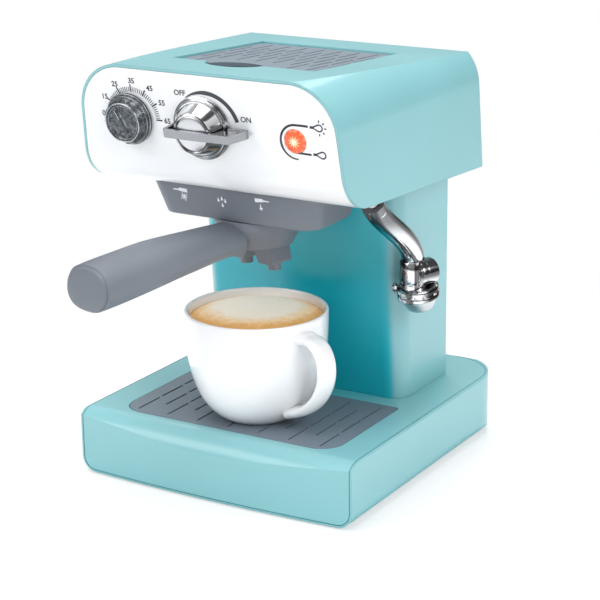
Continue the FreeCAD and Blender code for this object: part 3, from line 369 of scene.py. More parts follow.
FINISH = {
    "teal_shell": TEAL, "white_panel": WHITE, "grey_plastic": GREY, "chrome_plate": CHROME,
    "satin_metal": SATIN, "gunmetal": GUNMETAL, "dark_plastic": DARK, "foot_rubber": RUBBER,
    "steel_screw": STEEL, "green_board": BOARD, "white_china": CHINA, "cell_jacket": JACKET,
}
NODE_FINISH = {"drip_grate": GREY_DARK, "top_lid": GREY_DARK, "switch_lever": STRAP,
               "column_shell": TEAL_COLUMN}


def paint_nodes():
    """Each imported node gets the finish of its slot, or one of its own."""
    slots = {part["node"]: part["material_slot"] for part in frame["record"]["subparts"]}
    for name, thing in nodes.items():
        finish = NODE_FINISH.get(name) or FINISH.get(slots[name])
        if finish:
            thing.data.materials.clear()
            thing.data.materials.append(finish)


# Mesh helpers; prints stand a little proud of what they are on, in millimetres
PRINT_LIFT = 0.06


def new_mesh(name, verts, faces, mat, place=Matrix(), smooth=True):
    """A mesh piece with one material, placed by a matrix."""
    data = bpy.data.meshes.new(name)
    data.from_pydata([tuple(v) for v in verts], [], faces)
    data.validate()
    data.materials.append(mat)
    for polygon in data.polygons:
        polygon.use_smooth = smooth
    if smooth:
        data.set_sharp_from_angle(angle=math.radians(38))
    return put(name, data, place)


def ring_faces(rings, around, outward=True):
    """Faces between rings of points that follow one another in a list."""
    faces = []
    for ring in range(rings - 1):
        for step in range(around):
            after = (step + 1) % around
            low, high = ring * around, (ring + 1) * around
            if outward:
                faces.append((low + step, low + after, high + after, high + step))
            else:
                faces.append((low + step, high + step, high + after, low + after))
    return faces


def end_faces(rings, around):
    """Faces that close the first and the last ring."""
    return [tuple(range(around)), tuple(reversed(range((rings - 1) * around, rings * around)))]


def fuller(value, power):
    """Draws a sine or cosine toward a squarer curve and keeps its sign."""
    return abs(value) ** power * (1 if value >= 0 else -1)


def lathe(name, profile, place, mat, segments=96):
    """A turned shape from (radius, height) pairs in millimetres, about an upright axis at a matrix."""
    verts = []
    for radius, height in profile:
        for step in range(segments):
            angle = 2 * math.pi * step / segments
            verts.append(Vector((radius * math.cos(angle), radius * math.sin(angle), height)) / 1000)
    return new_mesh(name, verts, ring_faces(len(profile), segments), mat, place)


def smooth_profile(points, rounds=3):
    """Corner cutting that keeps the ends."""
    for _ in range(rounds):
        fresh = [points[0]]
        for a, b in zip(points, points[1:]):
            fresh.append((a[0] * 0.75 + b[0] * 0.25, a[1] * 0.75 + b[1] * 0.25))
            fresh.append((a[0] * 0.25 + b[0] * 0.75, a[1] * 0.25 + b[1] * 0.75))
        fresh.append(points[-1])
        points = fresh
    return points


def strip(name, path, width, place, mat, closed=False):
    """A flat printed line along 2-D points in millimetres, in the plane of a matrix; its width is one
    number or one for each point."""
    count = len(path)
    widths = width if isinstance(width, list) else [width] * count
    verts = []
    for index, (x, y) in enumerate(path):
        before = path[index - 1] if index or closed else path[0]
        after = path[(index + 1) % count] if index < count - 1 or closed else path[-1]
        along = Vector((after[0] - before[0], after[1] - before[1], 0)).normalized()
        side = Vector((-along.y, along.x, 0)) * widths[index] / 2
        for sign in (1, -1):
            verts.append((Vector((x, y, PRINT_LIFT)) + side * sign) / 1000)
    faces = []
    for index in range(count if closed else count - 1):
        a, b = 2 * index, 2 * ((index + 1) % count)
        faces.append((a, a + 1, b + 1, b))
    return new_mesh(name, verts, faces, mat, place, smooth=False)


def fill_shape(name, outline, place, mat):
    """A flat printed patch from its outline in millimetres."""
    verts = [Vector((x, y, PRINT_LIFT)) / 1000 for x, y in outline]
    return new_mesh(name, verts, [tuple(range(len(verts)))], mat, place, smooth=False)


def arc(cx, cy, radius, start, end, steps=24):
    """2-D points round a centre between two angles in degrees."""
    angles = [math.radians(start + (end - start) * step / steps) for step in range(steps + 1)]
    return [(cx + radius * math.cos(a), cy + radius * math.sin(a)) for a in angles]


def three_point_arc(first, middle, last, steps):
    """Points on the circle through three points, from the first round to the last, clockwise."""
    (ax, ay), (bx, by), (cx, cy) = first, middle, last
    d = 2 * (ax * (by - cy) + bx * (cy - ay) + cx * (ay - by))
    a2, b2, c2 = ax * ax + ay * ay, bx * bx + by * by, cx * cx + cy * cy
    ux = (a2 * (by - cy) + b2 * (cy - ay) + c2 * (ay - by)) / d
    uy = (a2 * (cx - bx) + b2 * (ax - cx) + c2 * (bx - ax)) / d
    start = math.degrees(math.atan2(ay - uy, ax - ux))
    end = math.degrees(math.atan2(cy - uy, cx - ux))
    if end > start:
        end -= 360
    return arc(ux, uy, math.hypot(ax - ux, ay - uy), start, end, steps)


def label(text, x, y, tall, place, mat):
    """A printed word or number, centred at a point in the plane of a matrix."""
    data = bpy.data.curves.new("print_" + text, "FONT")
    data.body = text
    data.size = tall / 0.7 / 1000
    data.align_x = "CENTER"
    data.align_y = "CENTER"
    data.extrude = 0.00003
    data.offset = 0.00008
    data.materials.append(mat)
    return put("print_" + text, data, place @ Matrix.Translation(Vector((x, y, PRINT_LIFT)) / 1000))


# The leaning front panel, and the middles (x, z) of what is on it, in millimetres
HEAD_TOP = 240
PANEL_TOP_DEPTH = -98.5
PANEL_LEAN = 10 / 68
DIAL_SPOT = (-48.3, 210.5)
SWITCH_SPOT = (-2.0, 210.0)
LAMP_SPOT = (54.5, 208.3)
KNOB_LIFT = 0.3


def leaning_matrix(spot, slope):
    """A frame on a face that leans back by an angle: across, up the face and out of it."""
    across = Vector((1, 0, 0))
    out = Vector((0, -math.cos(slope), -math.sin(slope)))
    return Matrix.Translation(spot) @ Matrix((across, out.cross(across), out)).transposed().to_4x4()


def panel_matrix(x, z, proud=0.0):
    """The panel's frame at a width and a height, some millimetres proud of its face."""
    place = leaning_matrix(at(x, PANEL_TOP_DEPTH + (HEAD_TOP - z) * PANEL_LEAN, z), math.atan(PANEL_LEAN))
    return place @ Matrix.Translation((0, 0, proud / 1000))


def print_panel():
    """The timer's numbers and ticks, and the switch's words and sweep."""
    dial, switch = panel_matrix(*DIAL_SPOT), panel_matrix(*SWITCH_SPOT)
    made = []
    for value, x, y in ((0, -17.6, 1.1), (15, -15.6, 10.8), (25, -7.9, 18.4), (35, 3.3, 21.2),
                        (45, 14.8, 18.0), (55, 21.6, 10.5), (65, 24.0, 0.6)):
        made.append(label(str(value), x, y, 2.9, dial, INK))
    first_angle, ticks, ticks_per_mark = 150, 35, 7
    for step in range(ticks + 1):
        turn = math.radians(first_angle - first_angle * step / ticks)
        inner, outer, wide = 14.6, 17.3, 0.46
        if step % ticks_per_mark == 0:
            outer, wide = 18.6, 0.85
        ends = [(2.2 + r * math.cos(turn), 0.6 + r * math.sin(turn)) for r in (inner, outer)]
        made.append(strip("tick_%02d" % step, ends, wide, dial, INK))
    made.append(label("OFF", -12.4, 17.9, 2.9, switch, INK))
    made.append(label("ON", 27.6, 6.9, 2.9, switch, INK_GREY))
    sweep = three_point_arc((-9.0, 15.6), (4.2, 19.3), (22.2, 5.0), 40)
    swell = [0.5 + 1.9 * min(1, i / 14) for i in range(len(sweep))]
    made.append(strip("switch_sweep", sweep, swell, switch, INK_GREY))
    for piece in made:
        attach(piece, "machine")


def bulb_icon(name, cx, cy, rays, place):
    """A bulb on its side: neck to the left, round end to the right, with rays if it is lit."""
    made = []
    outline = arc(cx, cy, 1.8, 115, -115, 18) + [(cx - 3.2, cy - 0.5), (cx - 3.2, cy + 0.5)]
    made.append(strip(name + "_glass", outline, 0.8, place, INK, closed=True))
    made.append(strip(name + "_neck", [(cx - 3.3, cy), (cx - 5.6, cy)], 1.4, place, INK))
    for index in range(5 if rays else 0):
        turn = math.radians(90 - 45 * index)
        ends = [(cx + r * math.cos(turn), cy + r * math.sin(turn)) for r in (2.9, 4.3)]
        made.append(strip("%s_ray%d" % (name, index), ends, 0.75, place, INK))
    return made


def lamp_material():
    """A red lens that is pale in the middle, with eleven faint spokes."""
    mat = bpy.data.materials.new("lamp_glow")
    mat.use_nodes = True
    tree = mat.node_tree
    shader = tree.nodes["Principled BSDF"]
    lens_reach, spokes, spoke_depth = 0.0082, 11.0, -0.10
    axes = split_axes(tree, add(tree, "ShaderNodeTexCoord").outputs["Object"])
    flat = add(tree, "ShaderNodeCombineXYZ")
    link(tree, axes["X"], flat.inputs["X"])
    link(tree, axes["Y"], flat.inputs["Y"])
    scaled = math_node(tree, "MULTIPLY", length_of(tree, flat.outputs[0]), 1 / lens_reach)
    turn = math_node(tree, "ARCTAN2", axes["Y"], axes["X"])
    wave = math_node(tree, "COSINE", math_node(tree, "MULTIPLY", turn, spokes))
    glow = colour_ramp(tree, math_node(tree, "MULTIPLY_ADD", wave, spoke_depth, scaled), [
        (0.0, (1.0, 0.92, 0.72)), (0.16, (1.0, 0.72, 0.42)), (0.34, (0.88, 0.16, 0.05)),
        (0.62, (0.78, 0.10, 0.035)), (0.82, (0.85, 0.22, 0.10)), (1.0, (0.92, 0.55, 0.42))])
    link(tree, glow, shader.inputs["Base Color"])
    link(tree, glow, shader.inputs["Emission Color"])
    shader.inputs["Emission Strength"].default_value = 0.12
    shader.inputs["Roughness"].default_value = 0.25
    return mat


def make_lamp():
    """The domed lens, the hooked line round it and the two bulb signs."""
    place = panel_matrix(*LAMP_SPOT)
    glow = lamp_material()
    low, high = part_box("lamp_lens")
    radius = (high.x - low.x) * 500
    profile = [(radius, -1.5), (radius, 0.1), (radius * 0.93, 0.5), (radius * 0.7, 1.1),
               (radius * 0.4, 1.5), (radius * 0.12, 1.65), (0.01, 1.66)]
    lens = lathe("lamp_window", smooth_profile(profile, 2), place, glow, 64)
    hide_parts("lamp_lens")
    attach(lens, "machine")
    nodes["lamp_led"].data.materials.clear()
    nodes["lamp_led"].data.materials.append(glow)
    hook = three_point_arc((1.2, -9.6), (-8.6, 0.6), (-0.4, 8.9), 36) + [(4.0, 9.0), (8.4, 8.9)]
    swell = [1.25 - 0.5 * max(0, 1 - i / 16) for i in range(len(hook))]
    made = [strip("lamp_hook", hook, swell, place, INK)]
    tail = [(-3.0, -4.9), (-1.4, -5.7), (0.6, -6.1), (9.2, -6.3)]
    made.append(strip("lamp_tail", tail, [0.5, 0.8, 1.1, 1.2], place, INK))
    made += bulb_icon("bulb_lit", 15.0, 8.7, True, place)
    made += bulb_icon("bulb_plain", 15.8, -5.9, False, place)
    for piece in made:
        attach(piece, "machine")


# Printed signs on the skirt over the filter holder: its face starts at a height and leans back
SKIRT_TOP = 178
SKIRT_TOP_DEPTH = -74.5
SKIRT_SLOPE = math.radians(15)
HOLDER_SIGN = [(-5.0, 2.6), (-5.0, 3.2), (-1.2, 3.5), (-1.2, 4.2), (4.0, 4.0), (4.0, 1.6), (-1.2, 2.2),
               (-1.2, 2.5)]


def skirt_matrix(x, z):
    """The skirt's frame at a width and a height on its leaning front."""
    return leaning_matrix(at(x, SKIRT_TOP_DEPTH + (SKIRT_TOP - z) * math.tan(SKIRT_SLOPE), z), SKIRT_SLOPE)


def drop(cx, cy, tall):
    """The outline of a drop."""
    return [(cx, cy + tall * 0.65)] + arc(cx, cy - tall * 0.15, tall * 0.27, 20, -200, 12)


def print_skirt():
    """A holder over a star at the left, four drops, and a mirrored holder over an arrow at the right."""
    left, right, middle = skirt_matrix(-32.5, 165.0), skirt_matrix(19.3, 165.0), skirt_matrix(-6.6, 164.2)
    made = [fill_shape("left_holder", HOLDER_SIGN, left, INK_WHITE)]
    for turn in range(0, 180, 36):
        dx, dy = math.cos(math.radians(turn)), math.sin(math.radians(turn))
        span = 2.9 if turn % 72 else 2.1
        ends = [(1.3 + sign * span * dx, -1.0 + sign * span * dy) for sign in (-1, 1)]
        made.append(strip("left_star_%d" % turn, ends, 0.42, left, INK_WHITE))
    made.append(fill_shape("right_holder", [(-x, y) for x, y in reversed(HOLDER_SIGN)], right, INK_WHITE))
    made.append(strip("right_stem", [(-0.8, 0.6), (-0.8, -1.6)], 0.6, right, INK_WHITE))
    made.append(strip("right_head", [(-0.8, -1.4), (-0.8, -3.2)], [2.6, 0.1], right, INK_WHITE))
    for index, (dx, dy) in enumerate(((-2.0, 0.6), (0.4, 1.6), (2.4, 0.4), (0.2, -2.4))):
        made.append(fill_shape("drop_%d" % index, drop(dx, dy, 2.6), middle, INK_WHITE))
    for piece in made:
        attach(piece, "machine")


# Cup and foam
def foam_material():
    """Pale foam that turns brown toward the rim, with fine bubbles in its colour and bump, and a faint
    painted glow that lifts it out of the shade.
    """
    mat = bpy.data.materials.new("coffee_foam")
    mat.use_nodes = True
    tree = mat.node_tree
    shader = tree.nodes["Principled BSDF"]
    place = add(tree, "ShaderNodeTexCoord").outputs["Object"]
    moved = add(tree, "ShaderNodeVectorMath", operation="SUBTRACT")
    moved.inputs[1].default_value = (-0.004, 0.007, 0.0)
    link(tree, place, moved.inputs[0])
    flat = add(tree, "ShaderNodeVectorMath", operation="MULTIPLY")
    flat.inputs[1].default_value = (1, 1, 0)
    link(tree, moved.outputs[0], flat.inputs[0])
    blur = add(tree, "ShaderNodeTexNoise", Scale=220.0, Detail=5.0)
    link(tree, place, blur.inputs["Vector"])
    ragged = math_node(tree, "MULTIPLY_ADD", blur.outputs["Fac"], 0.010, length_of(tree, flat.outputs[0]))
    tone = colour_ramp(tree, math_node(tree, "MULTIPLY", ragged, 20.0), [
        (0.0, (0.84, 0.77, 0.68)), (0.56, (0.82, 0.72, 0.60)), (0.70, (0.74, 0.54, 0.32)),
        (0.82, (0.62, 0.34, 0.11)), (0.95, (0.50, 0.24, 0.07))])
    specks = add(tree, "ShaderNodeTexVoronoi", Scale=900.0)
    link(tree, place, specks.inputs["Vector"])
    shade = remap(tree, specks.outputs["Distance"], 0.0, 0.5, 0.55, 1.0)
    tinted = blend(tree, 0.5, tone, shade, shader.inputs["Base Color"], "MULTIPLY")
    # Painted light: the foam glows faintly in its own colour, though it is no lamp.
    link(tree, tinted, shader.inputs["Emission Color"])
    shader.inputs["Emission Strength"].default_value = 0.35
    press = add(tree, "ShaderNodeBump", Distance=0.0003, Strength=0.7)
    link(tree, specks.outputs["Distance"], press.inputs["Height"])
    link(tree, press.outputs["Normal"], shader.inputs["Normal"])
    shader.inputs["Roughness"].default_value = 0.55
    shader.inputs["Subsurface Weight"].default_value = 0.15
    shader.inputs["Subsurface Radius"].default_value = (0.002, 0.001, 0.0005)
    return mat


def make_cup():
    """A turned bowl with a foot and a rounded lip, and a flat loop of a handle."""
    middle = at(3.4, -53.5, 38.1)
    outer = [(0.01, 1.6), (15, 1.6), (18.0, 0.9), (18.8, 0.0), (20.4, 0.0), (21.4, 0.8), (24.0, 2.4),
             (29.0, 7.4), (33.2, 14.0), (36.4, 22.0), (38.6, 31.0), (39.8, 42.0), (40.3, 52.0),
             (40.5, 60.6), (40.3, 62.0)]
    inner = [(39.4, 62.5), (38.6, 62.1), (38.1, 60.0), (37.9, 52.0), (37.2, 42.0), (36.0, 31.0), (33.8, 23.0),
             (30.6, 15.6), (26.0, 9.6), (18.0, 5.0), (0.01, 4.0)]
    bowl = lathe("cup_bowl", smooth_profile(outer + inner, 2), Matrix.Translation(middle), CHINA, 128)
    swing = math.radians(16)
    away = Vector((math.cos(swing), -math.sin(swing), 0))
    side = Vector((-away.y, away.x, 0))
    spine = smooth_profile([(36.5, 53.2), (41.0, 53.6), (46.5, 53.4), (52.0, 50.4), (55.6, 44.6),
                            (56.6, 38.0), (55.6, 31.0), (52.4, 24.0), (47.6, 17.8), (41.5, 12.8),
                            (35.0, 10.0), (29.5, 8.6)], 2)
    verts = []
    around = 28
    for index, (reach, lift) in enumerate(spine):
        before = Vector(spine[max(index - 1, 0)])
        after = Vector(spine[min(index + 1, len(spine) - 1)])
        along = (after - before).normalized()
        normal = away * -along.y + Vector((0, 0, 1)) * along.x
        share = index / (len(spine) - 1)
        swell = 1 + 0.35 * max(0, 1 - share * 6) + 0.25 * max(0, share * 6 - 5)
        half_wide, half_thick = 6.4 * swell, 3.1 * swell
        spot = middle + (away * reach + Vector((0, 0, lift))) / 1000
        for step in range(around):
            angle = 2 * math.pi * step / around
            flatter = fuller(math.cos(angle), 0.75)
            verts.append(spot + (side * flatter * half_wide + normal * math.sin(angle) * half_thick) / 1000)
    faces = ring_faces(len(spine), around) + end_faces(len(spine), around)
    grip = new_mesh("cup_grip", verts, faces, CHINA)
    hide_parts("cup")
    for piece in (bowl, grip):
        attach(piece, "coffee_cup")


# The foam's flat crown: how far it rises over its edge, and out to which radius, in millimetres
FOAM_EDGE = 2.2
FOAM_RISE = 3.9
FOAM_REACH = 36.5


def foam_height(reach):
    """How high the foam stands, in millimetres, at a distance from the middle of the cup."""
    return FOAM_EDGE + FOAM_RISE * (1 - (reach / FOAM_REACH) ** 2.8)


def make_foam():
    """The foam's rippled top with small bubbles on it."""
    low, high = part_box("coffee_insert")
    centre = Vector(((low.x + high.x) / 2, (low.y + high.y) / 2, low.z))
    profile = [(0.01, 0.0), (36.0, 0.0), (37.4, 1.2), (37.3, 2.1), (36.6, 2.3), (35.8, 2.3), (34.0, 3.3),
               (31.0, 4.4), (26.0, 5.4), (20.0, 5.9), (12.0, 6.1), (5.0, 6.1), (0.01, 6.1)]
    dense = []
    for a, b in zip(profile, profile[1:]):
        for step in range(5):
            share = step / 5
            dense.append((a[0] + (b[0] - a[0]) * share, a[1] + (b[1] - a[1]) * share))
    dense.append(profile[-1])
    foam = lathe("foam_top", dense, Matrix.Translation(centre), foam_material(), 160)
    for vertex in foam.data.vertices:
        x, y, z = vertex.co
        if z > 0.0025 and math.hypot(x, y) < FOAM_REACH / 1000:
            ripple = math.sin(x * 620 + 1.3) * math.sin(y * 540 + 0.4)
            ripple += 0.6 * math.sin(x * 1300) * math.cos(y * 1500)
            vertex.co.z += 0.00012 * ripple
    data = bpy.data.meshes.new("foam_bubbles")
    shape = bmesh.new()
    for _ in range(420):
        turn = rng.uniform(0, 2 * math.pi)
        reach = 35.8 - min(33, abs(rng.gauss(0, 10.0)))
        size = rng.uniform(0.2, 0.62)
        spot = Vector((reach * math.cos(turn), reach * math.sin(turn), foam_height(reach))) / 1000
        ball = bmesh.ops.create_icosphere(shape, subdivisions=2, radius=size / 1000)
        bmesh.ops.scale(shape, vec=(1, 1, 0.55), verts=ball["verts"])
        bmesh.ops.translate(shape, vec=spot, verts=ball["verts"])
    shape.to_mesh(data)
    shape.free()
    data.shade_smooth()
    data.materials.append(foam.data.materials[0])
    froth = put("foam_bubbles", data, Matrix.Translation(centre))
    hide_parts("coffee_insert")
    for piece in (foam, froth):
        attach(piece, "coffee_cup")


# Steam wand: a smooth bent tube, its collar, notched flange and nozzle
def tube(name, path, radius, mat, around=48):
    """A round tube with closed ends along world points."""
    verts = []
    side = (path[1] - path[0]).orthogonal().normalized()
    for index, spot in enumerate(path):
        along = (path[min(index + 1, len(path) - 1)] - path[max(index - 1, 0)]).normalized()
        side = (side - along * side.dot(along)).normalized()
        other = along.cross(side)
        for step in range(around):
            angle = 2 * math.pi * step / around
            verts.append(spot + (side * math.cos(angle) + other * math.sin(angle)) * radius)
    ends = [face[::-1] for face in end_faces(len(path), around)]
    return new_mesh(name, verts, ring_faces(len(path), around) + ends, mat)


def bezier(points, steps):
    """Points on the curve of four control points."""
    made = []
    for step in range(steps + 1):
        t = step / steps
        weights = ((1 - t) ** 3, 3 * (1 - t) ** 2 * t, 3 * (1 - t) * t * t, t ** 3)
        made.append(sum((Vector(spot) * weight for spot, weight in zip(points, weights)), Vector()))
    return made


def axis_matrix(spot, along):
    """A frame whose Z runs along a direction from a point."""
    up = Vector(along).normalized()
    side = up.orthogonal().normalized()
    return Matrix.Translation(spot) @ Matrix((side, up.cross(side), up)).transposed().to_4x4()


# The wand hangs in one plane at a width, from its pivot back to its foot, in millimetres
WAND_X = 76
WAND_PIVOT = (WAND_X, -50, 165.0)
WAND_FOOT_Y = -4
PIPE_RADIUS = 0.0064


def make_wand():
    """The wand's pieces, from its pivot in the head down to the nozzle."""
    line = bezier([(WAND_X, -51.0, 168.0), (WAND_X, -41, 153.5), (WAND_X, WAND_FOOT_Y, 140),
                   (WAND_X, WAND_FOOT_Y, 124)], 36)
    pieces = []
    pipe = tube("wand_pipe", [at(*spot) for spot in line], PIPE_RADIUS, PIPE)
    pin = lathe("wand_pin", [(0.01, 0.0), (2.2, 0.0), (3.0, 0.8), (3.0, 13.2), (2.2, 14.0), (0.01, 14.0)],
                Matrix.Translation(at(*WAND_PIVOT)), STEEL, 32)
    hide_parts("wand_pivot")
    pieces.append(pin)
    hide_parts("wand_tube")
    pieces.append(pipe)
    near = line[5]
    facing = Vector((0.62, -0.70, 0.35)).normalized()
    stud = [(3.4, 0.0), (3.4, 0.5), (3.0, 0.9), (2.5, 0.9), (2.3, 0.6), (1.7, 0.6), (1.5, 1.0), (0.01, 1.1)]
    pieces.append(lathe("wand_stud", stud, axis_matrix(at(*(near + facing * 5.7)), facing), STEEL, 40))
    collar = [(6.3, 16.2), (7.2, 16.0), (7.7, 15.3), (7.7, 3.6), (7.4, 3.2), (7.4, 2.6), (7.9, 2.2),
              (7.9, 0.0), (6.0, 0.0)]
    ring = lathe("wand_sleeve", collar, Matrix.Translation(at(WAND_X, WAND_FOOT_Y, 109.9)), PIPE, 64)
    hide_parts("wand_collar")
    pieces.append(ring)
    foot = Vector((78.2, -3.2, 111.0))
    seat = axis_matrix(at(*foot), Vector((0.07, 0.14, -0.98)))
    plate = [(5.0, 0.0), (10.2, 0.0), (11.6, 0.5), (11.9, 1.0), (11.9, 2.6), (11.4, 3.0), (10.9, 3.2),
             (10.9, 3.9), (11.6, 4.2), (11.9, 4.7), (11.9, 6.4), (11.3, 7.0), (5.0, 7.0)]
    flange = lathe("wand_rim", plate, seat, PIPE, 72)
    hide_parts("wand_flange")
    pieces.append(flange)
    cone = [(4.0, 6.6), (10.4, 6.6), (10.4, 7.3), (9.9, 8.2), (7.2, 13.4), (6.5, 14.0), (5.2, 14.0),
            (4.6, 13.2), (4.2, 10.0), (0.01, 10.0)]
    nozzle = lathe("wand_tip", cone, seat, SATIN, 64)
    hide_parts("wand_nozzle")
    pieces.append(nozzle)
    lugs = 10
    for index in range(lugs):
        tall, finish = (2.4, STEEL) if index % 2 else (1.5, CHROME)
        place = seat @ Matrix.Rotation(2 * math.pi * index / lugs, 4, "Z")
        pieces.append(small_block("wand_lug_%d" % index, (2.6, 1.3, tall),
                                  place @ Matrix.Translation((0, 0.0114, 0.0036)), finish))
    left = Vector((-0.856, -0.517, 0))
    tab = at(*(foot + left * 12.4 + Vector((0, 0, -1.0))))
    pieces.append(small_block("wand_tab", (3.6, 4.2, 4.6),
                              Matrix.Translation(tab) @ Matrix.Rotation(0.543, 4, "Z"), CHROME))
    barrel = [(0.01, 0.5), (4.6, 0.5), (5.0, 0.1), (6.6, 0.0), (7.3, 0.3), (7.6, 0.9), (7.6, 3.4), (7.2, 3.7),
              (7.2, 4.4), (7.6, 4.7), (7.6, 10.9), (7.2, 11.6), (6.2, 12.0), (0.01, 12.0)]
    tap = lathe("wand_barrel", barrel, axis_matrix(at(79.4, -8, 119), Vector((0.36, 0.93, 0))), BELL, 64)
    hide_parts("wand_valve")
    pieces.append(tap)
    for piece in pieces:
        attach(piece, "steam_wand")


# Filter holder's handle: a full oval grip that droops slightly, with a set-in end
def smooth_rows(stations, steps):
    """Rows on a smooth line through stations, with some steps from each to the next."""
    rows = [stations[0]]
    for index in range(len(stations) - 1):
        quad = [stations[max(index - 1, 0)], stations[index], stations[index + 1],
                stations[min(index + 2, len(stations) - 1)]]
        for step in range(1, steps + 1):
            t = step / steps
            weights = ((-t + 2 * t * t - t ** 3) / 2, (2 - 5 * t * t + 3 * t ** 3) / 2,
                       (t + 4 * t * t - 3 * t ** 3) / 2, (-t * t + t ** 3) / 2)
            rows.append(tuple(sum(w * q[k] for w, q in zip(weights, quad)) for k in range(4)))
    return rows


def make_handle():
    """Its rows are the reach from the hub, the height, half the width and half the thickness. Its
    upper side ends a little nearer to the hub than its lower side."""
    swing = math.radians(13)
    ahead = Vector((-math.sin(swing), -math.cos(swing), 0))
    side = Vector((math.cos(swing), -math.sin(swing), 0))
    hub = Vector((0, -43, 0))
    around, squareness, end_lean = 64, 0.86, 0.09
    steps = 4
    grip_rows = smooth_rows([
        (20, 142.1, 10.4, 9.2), (30, 142.2, 10.8, 9.4), (40, 142.1, 11.6, 9.8), (52, 141.6, 12.9, 10.4),
        (66, 141.1, 14.2, 11.1), (83, 140.1, 15.3, 12.1), (104, 138.2, 16.2, 12.4), (118, 137.0, 16.5, 12.4),
        (124.4, 136.4, 16.4, 12.2)], steps) + [(125.0, 136.3, 15.7, 11.6), (125.1, 136.3, 13.0, 9.0)]
    cap_rows = [(124.8, 136.3, 12.0, 8.0), (124.8, 136.3, 15.3, 11.2), (125.7, 136.2, 15.4, 11.3),
                (126.3, 136.2, 14.9, 10.9), (126.6, 136.15, 14.1, 10.1), (126.7, 136.15, 8.0, 5.0)]
    made = []
    for name, rows in (("handle_grip", grip_rows), ("handle_cap", cap_rows)):
        verts = []
        for reach, height, half_side, half_tall in rows:
            middle = hub + ahead * reach + Vector((0, 0, height))
            for step in range(around):
                angle = 2 * math.pi * step / around
                across = half_side * fuller(math.cos(angle), squareness)
                lift = half_tall * fuller(math.sin(angle), squareness)
                verts.append(at(*(middle + side * across + Vector((0, 0, lift)) - ahead * end_lean * lift)))
        faces = ring_faces(len(rows), around, outward=False) + end_faces(len(rows), around)
        made.append(new_mesh(name, verts, faces, GREY))
    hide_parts("holder_handle")
    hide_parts("handle_end_cap")
    for piece in made:
        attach(piece, "filter_holder")


def round_nodes():
    """Real rounding, in metres, on the edges of the moulded pieces that keep their first shape."""
    for name, width, segments in (("group_skirt", 0.0016, 3), ("twin_spout", 0.0009, 3),
                                  ("switch_lever", 0.0003, 2), ("holder_bowl", 0.0006, 2)):
        weld = nodes[name].modifiers.new("join", "WELD")
        weld.merge_threshold = 0.00001
        bevel = nodes[name].modifiers.new("ease", "BEVEL")
        bevel.width = width
        bevel.segments = segments
        bevel.limit_method = "ANGLE"
        bevel.angle_limit = math.radians(40)


def small_block(name, size, place, mat):
    """A little block with rounded edges."""
    data = bpy.data.meshes.new(name)
    shape = bmesh.new()
    bmesh.ops.create_cube(shape, size=1)
    bmesh.ops.scale(shape, vec=Vector(size) / 1000, verts=shape.verts)
    bmesh.ops.bevel(shape, geom=shape.edges[:], offset=min(size) * 0.00022, segments=3, affect="EDGES")
    shape.to_mesh(data)
    shape.free()
    data.materials.append(mat)
    data.shade_smooth()
    return put(name, data, place)


# Timer dial: skirt, stepped knob with a rim round its face, and small ribs
DIAL_LEAN = math.radians(30)


def make_dial():
    """The dial's turned pieces, ribs and raised pointer, which leans to the left at rest."""
    place = panel_matrix(*DIAL_SPOT, KNOB_LIFT)
    skirt = [(2.8, 0.0), (13.9, 0.0), (14.3, 0.4), (14.3, 1.4), (14.1, 1.9), (13.5, 2.0), (13.3, 2.3),
             (13.3, 3.0), (13.1, 3.6), (12.9, 4.0), (2.8, 4.0)]
    knob = [(12.9, 3.9), (12.8, 4.4), (12.2, 5.6), (11.4, 6.6), (10.9, 7.2), (10.9, 7.7), (10.5, 8.0),
            (9.9, 8.0), (9.5, 7.7), (9.3, 7.2), (8.8, 7.0), (0.01, 7.3)]
    back = lathe("dial_plate", skirt, place, GUNMETAL)
    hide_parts("dial_skirt")
    front = lathe("dial_cap", smooth_profile(knob, 1), place, GUNMETAL)
    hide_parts("dial_knob")
    pieces = [back, front]
    for name, radius, height, thick in (("back", 14.1, 1.75, 0.3), ("mid", 13.2, 3.3, 0.22),
                                        ("front", 10.7, 7.75, 0.42), ("face", 9.3, 7.35, 0.2)):
        pieces.append(ring_shape("dial_rim_" + name, radius, height, thick, place, RIM))
    ribs = 16
    for index in range(ribs):
        turned = place @ Matrix.Rotation(2 * math.pi * index / ribs, 4, "Z")
        spot = turned @ Matrix.Translation((0.0121, 0, 0.0049)) @ Matrix.Rotation(-0.45, 4, "Y")
        pieces.append(small_block("dial_rib_%02d" % index, (1.5, 1.5, 3.0), spot, GUNMETAL))
    lean = Matrix.Rotation(DIAL_LEAN, 4, "Z")
    face_height = 7.1
    ridge = [(-1.9, 7.1), (-1.3, 8.0), (-0.6, 8.7), (0.6, 8.7), (1.3, 8.0), (1.9, 7.1)]
    stations = ((-8.6, 0.35), (-7.6, 0.8), (-4, 1.0), (0, 1.06), (4, 1.0), (7.6, 0.8), (8.6, 0.35))
    verts = []
    for length, share in stations:
        for across, height in ridge:
            verts.append(Vector((across * (0.6 + 0.4 * share), length,
                                 face_height + (height - face_height) * share)) / 1000)
    faces = ring_faces(len(stations), len(ridge)) + end_faces(len(stations), len(ridge))
    grip = new_mesh("dial_ridge", verts, faces, GUNMETAL, place @ lean)
    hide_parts("dial_pointer")
    pieces.append(grip)
    pieces.append(small_block("dial_line", (0.5, 6.0, 0.4),
                              place @ lean @ Matrix.Translation((0, 0.0050, 0.00868)), RIM))
    for piece in pieces:
        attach(piece, "timer_dial")


def ring_shape(name, radius, height, thick, place, mat):
    """A thin round bead about the local Z axis."""
    profile = []
    for step in range(9):
        angle = math.pi * 2 * step / 8
        profile.append((radius + thick * math.cos(angle), height + thick * math.sin(angle)))
    return lathe(name, profile, place, mat)


